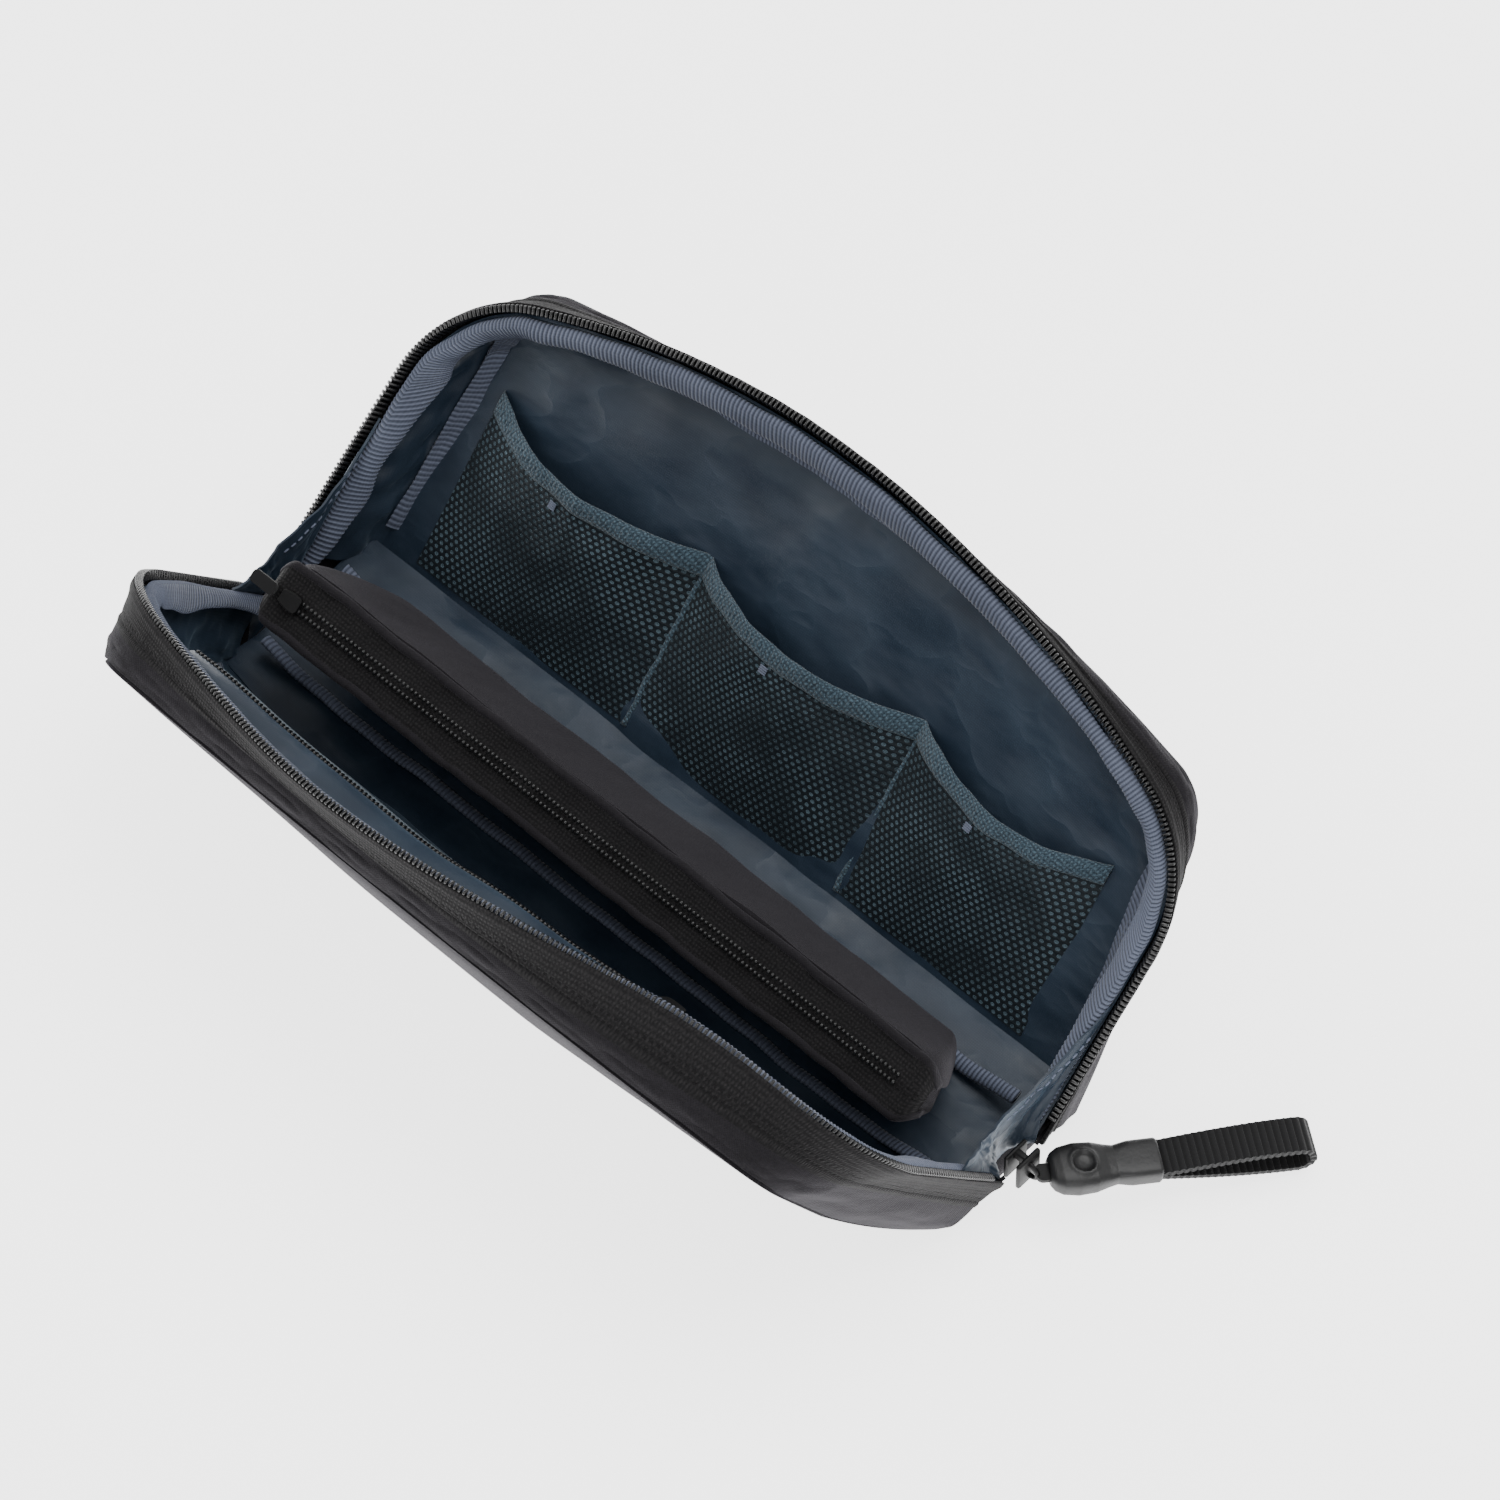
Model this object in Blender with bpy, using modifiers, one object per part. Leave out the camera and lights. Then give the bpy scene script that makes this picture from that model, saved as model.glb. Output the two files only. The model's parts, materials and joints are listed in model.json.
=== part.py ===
"""Zip-round cable organizer pouch, standing open on its base.

Frame: +X along the pouch, towards the end with the slider; -Y towards the front half; +Z up.
The origin is the middle of the base panel's underside. Everything is in metres.

Each half is drawn closed, with its mouth in the plane y = 0, and then turned open about the
long edge of the base. In the closed drawing "depth" is measured from the mouth plane outwards
and "inset" from the outer fabric inwards.
"""

import math

import bmesh
import bpy
from mathutils import Matrix, Vector

# ---------------------------------------------------------------- driving dimensions
MOUTH_HALF_WIDTH = 0.1300      # middle of the mouth to the zipper's legs
MOUTH_TOP_Z = 0.1175           # top of the mouth, closed
MOUTH_CROWN = 0.0330           # rise of the top arch above its shoulders
MOUTH_SHOULDER_RADIUS = 0.0420
ZIP_END_Z = 0.0125             # lowest tooth, closed
FACE_TAPER_BOTTOM = 0.0080     # how much narrower the face is than the mouth, at the bottom
FACE_TAPER_TOP = 0.0170        # and at its upper corners
FACE_DROP = 0.0065             # how much lower the top of the face is than the mouth
FACE_CROWN = 0.0130
FACE_CORNER_RADIUS = 0.0140
FACE_BOTTOM_Z = 0.0125
DEPTH_BOTTOM = 0.0280          # mouth plane to face, at the bottom
DEPTH_TOP = 0.0155             # and at the top

BASE_HALF_WIDTH = 0.0155       # middle of the base to each fold
FOLD_Z = 0.0030
OPEN_ANGLE = {"front": 37.0, "back": 47.0}

FABRIC = 0.0012                # outer fabric
LINING = 0.0006
BOARD = 0.0020                 # foam boards
TAPE = 0.0009
BINDING = 0.0010
BOARD_INSET = 0.0032           # foam boards stop short of the side wall
BOARD_LIFT = 0.0020            # and of the face's lower edge
MESH = 0.0006
GAP = 0.0003                   # air between pieces that touch
MOUTH_GAP = 0.0004             # each mouth to the middle plane, closed

COIL_RADIUS = 0.0010
TAPE_WIDTH = 0.0080            # main zipper's tape outside the teeth
BINDING_WIDTH = 0.0046
SEAM_BINDING_WIDTH = 0.0030

CASE_LENGTH = 0.2270
CASE_MIDDLE_X = 0.0015
CASE_HEIGHT = 0.0540
CASE_THICKNESS = 0.0165
CASE_BULGE = 0.0030
CASE_FOOT_Y = 0.0135
CASE_FOOT_Z = 0.0068
CASE_LEAN = 36.0
CASE_END_RADIUS = 0.0120       # height over which its ends round off at the top
CASE_CORNER_DRAW = 0.0040      # how far they draw in there
CASE_FOOT_HALF = 0.0030        # half the thickness at the foot
CASE_FOOT_HEIGHT = 0.0160      # height at which it reaches full thickness
CASE_LINING_EASE = 0.0016      # lining to end walls
CASE_LINING_TOP = 0.0014       # lining below the zipper's tapes
CASE_WEB_MARGIN = 0.0300       # the foot's web stops this far from the case's ends
CASE_WEB_HALF = 0.0005
CASE_WEB_HEIGHT = 0.0010
PIPING_RADIUS = 0.0012

BACK_POCKET_LEFT = -0.1060
BACK_POCKET_RIGHT = 0.1030
BACK_POCKET_DIVIDERS = (-0.0330, 0.0400)
BACK_POCKET_TOP_Z = 0.0710
BACK_POCKET_BOTTOM_Z = 0.0180
BACK_POCKET_BULGE = 0.0120
HEM_HEIGHT = 0.0065
HEM_THICKNESS = 0.0016
SEAM_HALF_WIDTH = 0.0008       # divider seams of the back pocket
SEAM_THICKNESS = 0.0006
SEAM_LIFT = 0.0011             # off the mesh they hold down

GUSSET_THICKNESS = 0.0010
GUSSET_FRONT_HEIGHT = 0.0200   # how far up each half's leg the gussets are sewn
GUSSET_BACK_HEIGHT = 0.0360
GUSSET_FOLD = 0.0070           # how far their middle folds inwards

FRONT_POCKET_HALF_WIDTH = 0.1000
FRONT_POCKET_ZIP_Z = 0.0780
FRONT_POCKET_BULGE = 0.0080
FRONT_POCKET_TAPE_WIDTH = 0.0060

SLIDER_LENGTH = 0.0100
SLIDER_WIDTH = 0.0080
SLIDER_HEIGHT = 0.0034
SLIDER_BODY = 0.55             # share of that height below the bridge
SLIDER_TOP = SLIDER_HEIGHT * SLIDER_BODY
SMALL_SLIDER = 0.62            # size of the two small sliders against the main one
BAIL_OFFSET = 0.0022           # pull's pivot above the main slider's body
BAIL_LENGTH = 0.0047
BAIL_WIDTH = 0.0050
BAIL_THICKNESS = 0.0012
CASE_SLIDER_FROM_END = 0.0105  # case slider at rest, from the case's left end
CASE_TAB_LENGTH = 0.0080
CASE_TAB_WIDTH = 0.0036
CASE_TAB_THICKNESS = 0.0011
TAB_START = 0.0012             # small pulls start this far from their pivots
TAPE_CLEARANCE = 0.0004        # sliders over the tape or the coil
POCKET_SLIDER_X = 0.0560
POCKET_PULL_LENGTH = 0.0095
POCKET_PULL_WIDTH = 0.0062
POCKET_PULL_THICKNESS = 0.0012
PULL_DROP = 8.0                # how far the main pull hangs below level, in degrees
PULL_HEADING = 55.0            # its heading from +X towards +Y, in degrees
GRIP_LENGTH = 0.0265
GRIP_WIDTH = 0.0138
GRIP_THICKNESS = 0.0075
LOOP_LENGTH = 0.0400
LOOP_WIDTH = 0.0100
LOOP_THICKNESS = 0.0016
LOOP_OPENING = 0.0065

LEG_POINTS = 5
CORNER_POINTS = 6
TOP_POINTS = 9

COLOURS = {
    "shell": ((0.033, 0.029, 0.033), 0.85, 0.0),
    "tape": ((0.040, 0.037, 0.038), 0.90, 0.0),
    "teeth": ((0.012, 0.012, 0.013), 0.35, 0.0),
    "lining": ((0.022, 0.042, 0.072), 0.45, 0.0),
    "binding": ((0.150, 0.180, 0.250), 0.80, 0.0),
    "mesh": ((0.010, 0.022, 0.036), 0.80, 0.0),
    "hem": ((0.060, 0.105, 0.140), 0.80, 0.0),
    "board": ((0.500, 0.500, 0.500), 0.90, 0.0),
    "rubber": ((0.030, 0.030, 0.032), 0.50, 0.0),
    "webbing": ((0.010, 0.010, 0.011), 0.90, 0.0),
    "metal": ((0.020, 0.020, 0.022), 0.30, 0.9),
}


# ---------------------------------------------------------------- scene and materials
def clear_scene():
    for item in list(bpy.data.objects):
        bpy.data.objects.remove(item, do_unlink=True)


def make_material(name):
    colour, roughness, metallic = COLOURS[name]
    material = bpy.data.materials.new(name)
    material.use_nodes = True
    shader = material.node_tree.nodes["Principled BSDF"]
    shader.inputs["Base Color"].default_value = (*colour, 1.0)
    shader.inputs["Roughness"].default_value = roughness
    shader.inputs["Metallic"].default_value = metallic
    material.diffuse_color = (*colour, 1.0)
    return material


def make_empty(name, location, rotation):
    """An empty at a world location; rotation is a world matrix."""
    empty = bpy.data.objects.new(name, None)
    parts_collection.objects.link(empty)
    empty.matrix_world = Matrix.Translation(location) @ rotation
    return empty


def finish(name, bm, finish_name, parent=None, smooth=True):
    """Turn a bmesh drawn in the parent's own coordinates into a named node."""
    bmesh.ops.remove_doubles(bm, verts=bm.verts, dist=1e-7)
    bmesh.ops.recalc_face_normals(bm, faces=bm.faces)
    mesh = bpy.data.meshes.new(name)
    bm.to_mesh(mesh)
    bm.free()
    if smooth:
        mesh.shade_smooth()
        mesh.set_sharp_from_angle(angle=math.radians(40))
    item = bpy.data.objects.new(name, mesh)
    item.data.materials.append(materials[finish_name])
    parts_collection.objects.link(item)
    if parent is not None:
        item.parent = parent
    return item


# ---------------------------------------------------------------- general shapes
def loft(bm, loops, closed=False):
    """Bridge section loops that have the same number of points, with flat caps at both ends."""
    rows = [[bm.verts.new(point) for point in loop] for loop in loops]
    pairs = list(zip(rows[:-1], rows[1:]))
    if closed:
        pairs.append((rows[-1], rows[0]))
    for first, second in pairs:
        for index in range(len(first)):
            after = (index + 1) % len(first)
            bm.faces.new((first[index], first[after], second[after], second[index]))
    if not closed:
        bm.faces.new(rows[0])
        bm.faces.new(rows[-1])
    return bm


def sheet(bm, grid_a, grid_b):
    """A closed sheet between two grids of points with the same rows and columns."""
    rows = len(grid_a)
    columns = len(grid_a[0])
    side_a = [[bm.verts.new(point) for point in row] for row in grid_a]
    side_b = [[bm.verts.new(point) for point in row] for row in grid_b]
    for row in range(rows - 1):
        for col in range(columns - 1):
            for side in (side_a, side_b):
                corner = (side[row][col], side[row][col + 1], side[row + 1][col + 1], side[row + 1][col])
                bm.faces.new(corner)
    border = [(0, col) for col in range(columns)]
    border += [(row, columns - 1) for row in range(1, rows)]
    border += [(rows - 1, col) for col in range(columns - 2, -1, -1)]
    border += [(row, 0) for row in range(rows - 2, 0, -1)]
    for here, there in zip(border, border[1:] + border[:1]):
        bm.faces.new((
            side_a[here[0]][here[1]], side_a[there[0]][there[1]],
            side_b[there[0]][there[1]], side_b[here[0]][here[1]],
        ))
    return bm


def box(bm, low, high):
    size = [b - a for a, b in zip(low, high)]
    middle = [(a + b) / 2 for a, b in zip(low, high)]
    made = bmesh.ops.create_cube(bm, size=1.0)
    bmesh.ops.scale(bm, vec=size, verts=made["verts"])
    bmesh.ops.translate(bm, vec=middle, verts=made["verts"])
    return bm


def add_bevel(item, width, segments=2):
    bevel = item.modifiers.new("rounded edges", "BEVEL")
    bevel.width = width
    bevel.segments = segments
    bevel.limit_method = "ANGLE"
    return item


def rounded_rectangle(half_length, half_width, radius, arc_points=5):
    """Corner-rounded outline in a plane, as (along, across) pairs, counter-clockwise."""
    outline = []
    corners = ((1, 1, 0.0), (-1, 1, 90.0), (-1, -1, 180.0), (1, -1, 270.0))
    for sign_x, sign_y, start in corners:
        for step in range(arc_points + 1):
            angle = math.radians(start + 90.0 * step / arc_points)
            outline.append((
                sign_x * (half_length - radius) + radius * math.cos(angle),
                sign_y * (half_width - radius) + radius * math.sin(angle),
            ))
    return outline


# ---------------------------------------------------------------- the shape of a half
def arch(half_bottom, half_corner, start_z, corner_z, top_z, radius, second_z):
    """Right half of an arched outline as (x, z) pairs, from the foot of the leg to the middle.

    The leg is straight, the top is an arc through both corners and the middle, and a round
    corner of the given radius joins them.
    """
    foot = Vector((half_bottom, start_z))
    corner = Vector((half_corner, corner_z))
    leg = (corner - foot).normalized()
    inward = Vector((-leg.y, leg.x))
    rise = top_z - corner_z
    top_radius = (half_corner ** 2 + rise ** 2) / (2 * rise)
    top_centre = Vector((0.0, top_z - top_radius))
    # The round corner's centre is one radius inside the leg and one radius inside the top arc.
    start = foot + inward * radius - top_centre
    along = start.dot(leg)
    reach = top_radius - radius
    travel = -along + math.sqrt(along ** 2 - (start.length_squared - reach ** 2))
    centre = top_centre + start + leg * travel
    leg_end = centre - inward * radius
    top_direction = (centre - top_centre).normalized()
    leg_angle = math.atan2(-inward.y, -inward.x)
    top_angle = math.atan2(top_direction.y, top_direction.x)
    points = [foot, foot + leg * ((second_z - start_z) / leg.y)]
    second = points[1]
    for step in range(1, LEG_POINTS):
        points.append(second.lerp(leg_end, step / (LEG_POINTS - 1)))
    for step in range(1, CORNER_POINTS + 1):
        angle = leg_angle + (top_angle - leg_angle) * step / CORNER_POINTS
        points.append(centre + radius * Vector((math.cos(angle), math.sin(angle))))
    for step in range(1, TOP_POINTS + 1):
        angle = top_angle + (math.pi / 2 - top_angle) * step / TOP_POINTS
        points.append(top_centre + top_radius * Vector((math.cos(angle), math.sin(angle))))
    return [(point.x, point.y) for point in points]


def both_sides(points):
    return points + [(-x, z) for x, z in reversed(points[:-1])]


BAND_FOOT_Z = FOLD_Z + 0.0022
FACE_TOP_Z = MOUTH_TOP_Z - FACE_DROP
MOUTH = both_sides(arch(
    MOUTH_HALF_WIDTH, MOUTH_HALF_WIDTH, BAND_FOOT_Z, MOUTH_TOP_Z - MOUTH_CROWN,
    MOUTH_TOP_Z, MOUTH_SHOULDER_RADIUS, ZIP_END_Z))
FACE = both_sides(arch(
    MOUTH_HALF_WIDTH - FACE_TAPER_BOTTOM, MOUTH_HALF_WIDTH - FACE_TAPER_TOP, FACE_BOTTOM_Z,
    FACE_TOP_Z - FACE_CROWN, FACE_TOP_Z, FACE_CORNER_RADIUS, FACE_BOTTOM_Z + 0.0060))
COUNT = len(MOUTH)


def face_depth(z):
    """Depth of the outer face above a height."""
    share = (z - FACE_BOTTOM_Z) / (FACE_TOP_Z - FACE_BOTTOM_Z)
    return DEPTH_BOTTOM + (DEPTH_TOP - DEPTH_BOTTOM) * share


def wall(index, depth, inset):
    """Point of a half's side wall in the closed drawing: at an outline point, a depth and an inset."""
    share = depth / face_depth(FACE[index][1])

    def outline(at):
        at = min(max(at, 0), COUNT - 1)
        start = Vector(MOUTH[at])
        return start.lerp(Vector(FACE[at]), share)

    here = outline(index)
    run = (outline(index + 1) - outline(index - 1)).normalized()
    inward = Vector((-run.y, run.x))
    moved = here + inward * inset
    return Vector((moved.x, depth, moved.y))


def full_depth(index):
    return face_depth(FACE[index][1])


def flip_y(side, points):
    """Mirror points drawn for the back half to the side asked for."""
    sign = 1 if side == "back" else -1
    return [Vector((p[0], sign * p[1], p[2])) for p in points]


def in_half(side, points):
    """Closed drawing to the coordinates of the half's fold."""
    shifted = [Vector(p) - Vector((0, BASE_HALF_WIDTH, FOLD_Z)) for p in points]
    return flip_y(side, shifted)


def strip(name, side, finish_name, shallow, deep, outer, inner, skip=0):
    """A strip of fabric round the mouth; shallow and deep give its depths at an outline point."""
    bm = bmesh.new()
    loops = []
    for index in range(skip, COUNT - skip):
        loops.append(in_half(side, (
            wall(index, shallow(index), outer), wall(index, deep(index), outer),
            wall(index, deep(index), inner), wall(index, shallow(index), inner),
        )))
    loft(bm, loops)
    return finish(name, bm, finish_name, folds[side])


def face_plate(name, side, finish_name, depth_in, thickness, inset, foot_z):
    """A plate parallel to the face, depth_in under its outer side."""
    bm = bmesh.new()
    loops = []
    for below in (depth_in, depth_in + thickness):
        outline = []
        for index in range(COUNT):
            point = wall(index, full_depth(index), inset)
            z = max(point.z, foot_z)
            outline.append(Vector((point.x, face_depth(z) - below, z)))
        loops.append(in_half(side, outline))
    loft(bm, loops)
    return finish(name, bm, finish_name, folds[side])


def lining_tray(name, side, rim_depth, inset, face_in):
    """The lining of a half: a wall and a face in one sheet, open at the mouth and at the fold."""
    bm = bmesh.new()
    rings = []
    for extra in (0.0, LINING):
        rows = []
        for share in (0.0, 0.5, 1.0):
            row = []
            for index in range(COUNT):
                corner = wall(index, full_depth(index) - face_in - extra, inset + extra)
                deepest = face_depth(corner.z) - face_in - extra
                point = wall(index, rim_depth + (deepest - rim_depth) * share, inset + extra)
                if share == 1.0:
                    point.y = face_depth(point.z) - face_in - extra
                row.append(point)
            rows.append([bm.verts.new(point) for point in in_half(side, row)])
        rings.append(rows)
    outer, inner = rings
    for rows in rings:
        for first, second in zip(rows[:-1], rows[1:]):
            for index in range(COUNT - 1):
                bm.faces.new((first[index], first[index + 1], second[index + 1], second[index]))
        bm.faces.new(rows[-1])
    for index in range(COUNT - 1):
        bm.faces.new((outer[0][index], outer[0][index + 1], inner[0][index + 1], inner[0][index]))
    for end in (0, -1):
        for row in range(len(outer) - 1):
            bm.faces.new((outer[row][end], outer[row + 1][end], inner[row + 1][end], inner[row][end]))
    bm.faces.new((outer[-1][0], outer[-1][-1], inner[-1][-1], inner[-1][0]))
    return finish(name, bm, "lining", folds[side])


def coil_round_mouth(name, side):
    """The zipper's teeth as one round bead along the mouth."""
    bm = bmesh.new()
    middle_depth = MOUTH_GAP + COIL_RADIUS
    loops = []
    for index in range(1, COUNT - 1):
        loop = []
        for step in range(6):
            angle = 2 * math.pi * step / 6
            depth = middle_depth + COIL_RADIUS * math.cos(angle)
            loop.append(wall(index, depth, TAPE / 2 + COIL_RADIUS * math.sin(angle)))
        loops.append(in_half(side, loop))
    loft(bm, loops)
    return finish(name, bm, "teeth", folds[side])


TAPE_START = MOUTH_GAP + 2 * COIL_RADIUS + GAP
TAPE_END = TAPE_START + TAPE_WIDTH
BINDING_INSET = TAPE / 2 + COIL_RADIUS + GAP
BINDING_END = MOUTH_GAP + BINDING_WIDTH
LINING_INSET = FABRIC + 2 * GAP
FACE_LINING_IN = FABRIC + GAP + BOARD + GAP
POCKET_BACKING = FACE_LINING_IN + LINING + GAP


def bottom_strip(side):
    """Outer fabric between the fold and the face's lower edge, rounded like the real corner."""
    bm = bmesh.new()
    half = MOUTH_HALF_WIDTH - FACE_TAPER_BOTTOM - FABRIC - GAP
    start = Vector((BASE_HALF_WIDTH + 0.0006, FOLD_Z - FABRIC / 2))
    end = Vector((DEPTH_BOTTOM - 0.0002, FACE_BOTTOM_Z - GAP))
    normal = Vector((start.y - end.y, end.x - start.x)).normalized()
    steps = 5
    loops = []
    for x in (-half, half):
        lower, upper = [], []
        for step in range(steps + 1):
            share = step / steps
            bow = -0.0012 * math.sin(math.pi * share)
            point = start.lerp(end, share) + normal * bow
            inner = point + normal * FABRIC
            lower.append((x, point.x, point.y))
            upper.append((x, inner.x, inner.y))
        upper[-1] = (x, upper[-1][1] - 0.0006, min(upper[-1][2], FACE_BOTTOM_Z - GAP))
        loops.append(in_half(side, lower + upper[::-1]))
    loft(bm, loops)
    return finish(f"{side}_bottom_strip", bm, "shell", folds[side])


def build_half(side):
    strip(f"{side}_zip_tape", side, "tape",
          lambda i: TAPE_START, lambda i: TAPE_END, 0.0, TAPE)
    coil_round_mouth(f"{side}_zip_coil", side)
    strip(f"{side}_mouth_binding", side, "binding",
          lambda i: MOUTH_GAP, lambda i: BINDING_END, BINDING_INSET, BINDING_INSET + BINDING)
    strip(f"{side}_side_band", side, "shell",
          lambda i: TAPE_END + GAP, lambda i: full_depth(i) - FABRIC - GAP, 0.0, FABRIC)
    face_plate(f"{side}_face_panel", side, "shell", 0.0, FABRIC, 0.0, FACE_BOTTOM_Z)
    face_plate(f"{side}_foam_board", side, "board", FABRIC + GAP, BOARD,
               BOARD_INSET, FACE_BOTTOM_Z + BOARD_LIFT)
    bottom_strip(side)
    lining_tray(f"{side}_lining", side, BINDING_END + GAP, LINING_INSET, FACE_LINING_IN)
    seam_inset = LINING_INSET + LINING + GAP
    strip(f"{side}_seam_binding", side, "binding",
          lambda i: full_depth(i) - POCKET_BACKING - SEAM_BINDING_WIDTH,
          lambda i: full_depth(i) - POCKET_BACKING,
          seam_inset, seam_inset + BINDING, skip=1)


# ---------------------------------------------------------------- pockets
def pocket_bulge(x, height_share):
    """How far the back pocket stands off the lining: three bags between the dividers."""
    edges = (BACK_POCKET_LEFT, *BACK_POCKET_DIVIDERS, BACK_POCKET_RIGHT)
    for left, right in zip(edges[:-1], edges[1:]):
        if left <= x <= right:
            across = math.sin(math.pi * (x - left) / (right - left))
            return BACK_POCKET_BULGE * across * math.sin(0.5 * math.pi * height_share)
    return 0.0


def pocket_columns(steps=6):
    edges = (BACK_POCKET_LEFT, *BACK_POCKET_DIVIDERS, BACK_POCKET_RIGHT)
    columns = [edges[0]]
    for left, right in zip(edges[:-1], edges[1:]):
        for step in range(1, steps + 1):
            columns.append(left + (right - left) * step / steps)
    return columns


def back_pocket():
    mesh_top = BACK_POCKET_TOP_Z - HEM_HEIGHT - GAP
    rows = 6
    grids = []
    for extra in (0.0, MESH):
        grid = []
        for row in range(rows + 1):
            share = row / rows
            z = BACK_POCKET_BOTTOM_Z + (mesh_top - BACK_POCKET_BOTTOM_Z) * share
            line = []
            for x in pocket_columns():
                depth = face_depth(z) - POCKET_BACKING - extra - pocket_bulge(x, share)
                line.append((x, depth, z))
            grid.append(in_half("back", line))
        grids.append(grid)
    bm = bmesh.new()
    sheet(bm, *grids)
    finish("back_mesh_pocket", bm, "mesh", folds["back"])

    bm = bmesh.new()
    loops = []
    for x in pocket_columns(8):
        loop = []
        for z, extra in ((BACK_POCKET_TOP_Z - HEM_HEIGHT, 0.0), (BACK_POCKET_TOP_Z, 0.0),
                         (BACK_POCKET_TOP_Z, HEM_THICKNESS),
                         (BACK_POCKET_TOP_Z - HEM_HEIGHT, HEM_THICKNESS)):
            depth = face_depth(BACK_POCKET_TOP_Z) - POCKET_BACKING - extra - pocket_bulge(x, 1.0)
            loop.append((x, depth, z))
        loops.append(in_half("back", loop))
    loft(bm, loops)
    finish("back_pocket_hem", bm, "hem", folds["back"])

    for label, x in zip(("left", "right"), BACK_POCKET_DIVIDERS):
        bm = bmesh.new()
        half = SEAM_HALF_WIDTH
        loops = []
        for z in (BACK_POCKET_BOTTOM_Z, BACK_POCKET_TOP_Z - HEM_HEIGHT - GAP):
            near = face_depth(z) - POCKET_BACKING - MESH - SEAM_LIFT
            far = near - SEAM_THICKNESS
            loops.append(in_half("back", (
                (x - half, near, z), (x + half, near, z), (x + half, far, z), (x - half, far, z))))
        loft(bm, loops)
        finish(f"pocket_divider_seam_{label}", bm, "hem", folds["back"])


def front_pocket_depth(z):
    """Depth of the front mesh pocket's sheet, standing further off the lining towards its zipper."""
    share = (z - BACK_POCKET_BOTTOM_Z) / (FRONT_POCKET_ZIP_Z - BACK_POCKET_BOTTOM_Z)
    return face_depth(z) - POCKET_BACKING - FRONT_POCKET_BULGE * math.sin(0.5 * math.pi * share)


def front_strip(name, finish_name, low_z, high_z, low_depth, high_depth, thickness, half):
    bm = bmesh.new()
    loops = []
    for x in (-half, half):
        loops.append(in_half("front", (
            (x, low_depth, low_z), (x, high_depth, high_z),
            (x, high_depth - thickness, high_z), (x, low_depth - thickness, low_z))))
    loft(bm, loops)
    return finish(name, bm, finish_name, folds["front"])


def front_pocket():
    zip_depth = front_pocket_depth(FRONT_POCKET_ZIP_Z)
    tape = FRONT_POCKET_TAPE_WIDTH
    half_coil = COIL_RADIUS
    tape_top = FRONT_POCKET_ZIP_Z - half_coil - GAP
    mesh_top = tape_top - tape - GAP
    grids = []
    rows = 5
    columns = 10
    half = FRONT_POCKET_HALF_WIDTH
    for extra in (0.0, MESH):
        grid = []
        for row in range(rows + 1):
            z = BACK_POCKET_BOTTOM_Z + (mesh_top - BACK_POCKET_BOTTOM_Z) * row / rows
            line = []
            for col in range(columns + 1):
                x = -half + 2 * half * col / columns
                line.append((x, front_pocket_depth(z) - extra, z))
            grid.append(in_half("front", line))
        grids.append(grid)
    bm = bmesh.new()
    sheet(bm, *grids)
    finish("front_mesh_pocket", bm, "mesh", folds["front"])

    front_strip("front_pocket_tape_lower", "hem", mesh_top + GAP, tape_top,
                zip_depth, zip_depth, TAPE, half)
    tape_bottom = FRONT_POCKET_ZIP_Z + half_coil + GAP
    upper_end = tape_bottom + tape + FRONT_POCKET_BULGE
    front_strip("front_pocket_tape_upper", "hem", tape_bottom, upper_end,
                zip_depth, face_depth(upper_end) - POCKET_BACKING, TAPE, half)

    bm = bmesh.new()
    loops = []
    for x in (-half, half):
        loop = []
        for step in range(8):
            angle = 2 * math.pi * step / 8
            loop.append((x, zip_depth - TAPE / 2 + half_coil * math.cos(angle),
                         FRONT_POCKET_ZIP_Z + half_coil * math.sin(angle)))
        loops.append(in_half("front", loop))
    loft(bm, loops)
    finish("front_pocket_coil", bm, "teeth", folds["front"])


# ---------------------------------------------------------------- base and gussets
def base_plate(name, finish_name, low_z, thickness, half_length, half_width, radius):
    bm = bmesh.new()
    outline = rounded_rectangle(half_length, half_width, radius)
    loft(bm, [[(x, y, z) for x, y in outline] for z in (low_z, low_z + thickness)])
    return finish(name, bm, finish_name)


def build_base():
    half_length = MOUTH_HALF_WIDTH - FACE_TAPER_BOTTOM
    half_width = BASE_HALF_WIDTH - 0.0004
    base_plate("base_panel", "shell", 0.0, FABRIC, half_length, half_width, 0.0050)
    board_z = FABRIC + GAP
    base_plate("base_foam_board", "board", board_z, BOARD,
               half_length - 0.0030, half_width - 0.0012, 0.0040)
    base_plate("base_lining", "lining", board_z + BOARD + GAP, LINING,
               half_length - 0.0020, half_width - 0.0010, 0.0045)


def rest_point(side, x, depth, z):
    """Closed drawing to world, with the half open as it stands."""
    local = in_half(side, [(x, depth, z)])[0]
    return folds[side].matrix_world @ local


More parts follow.
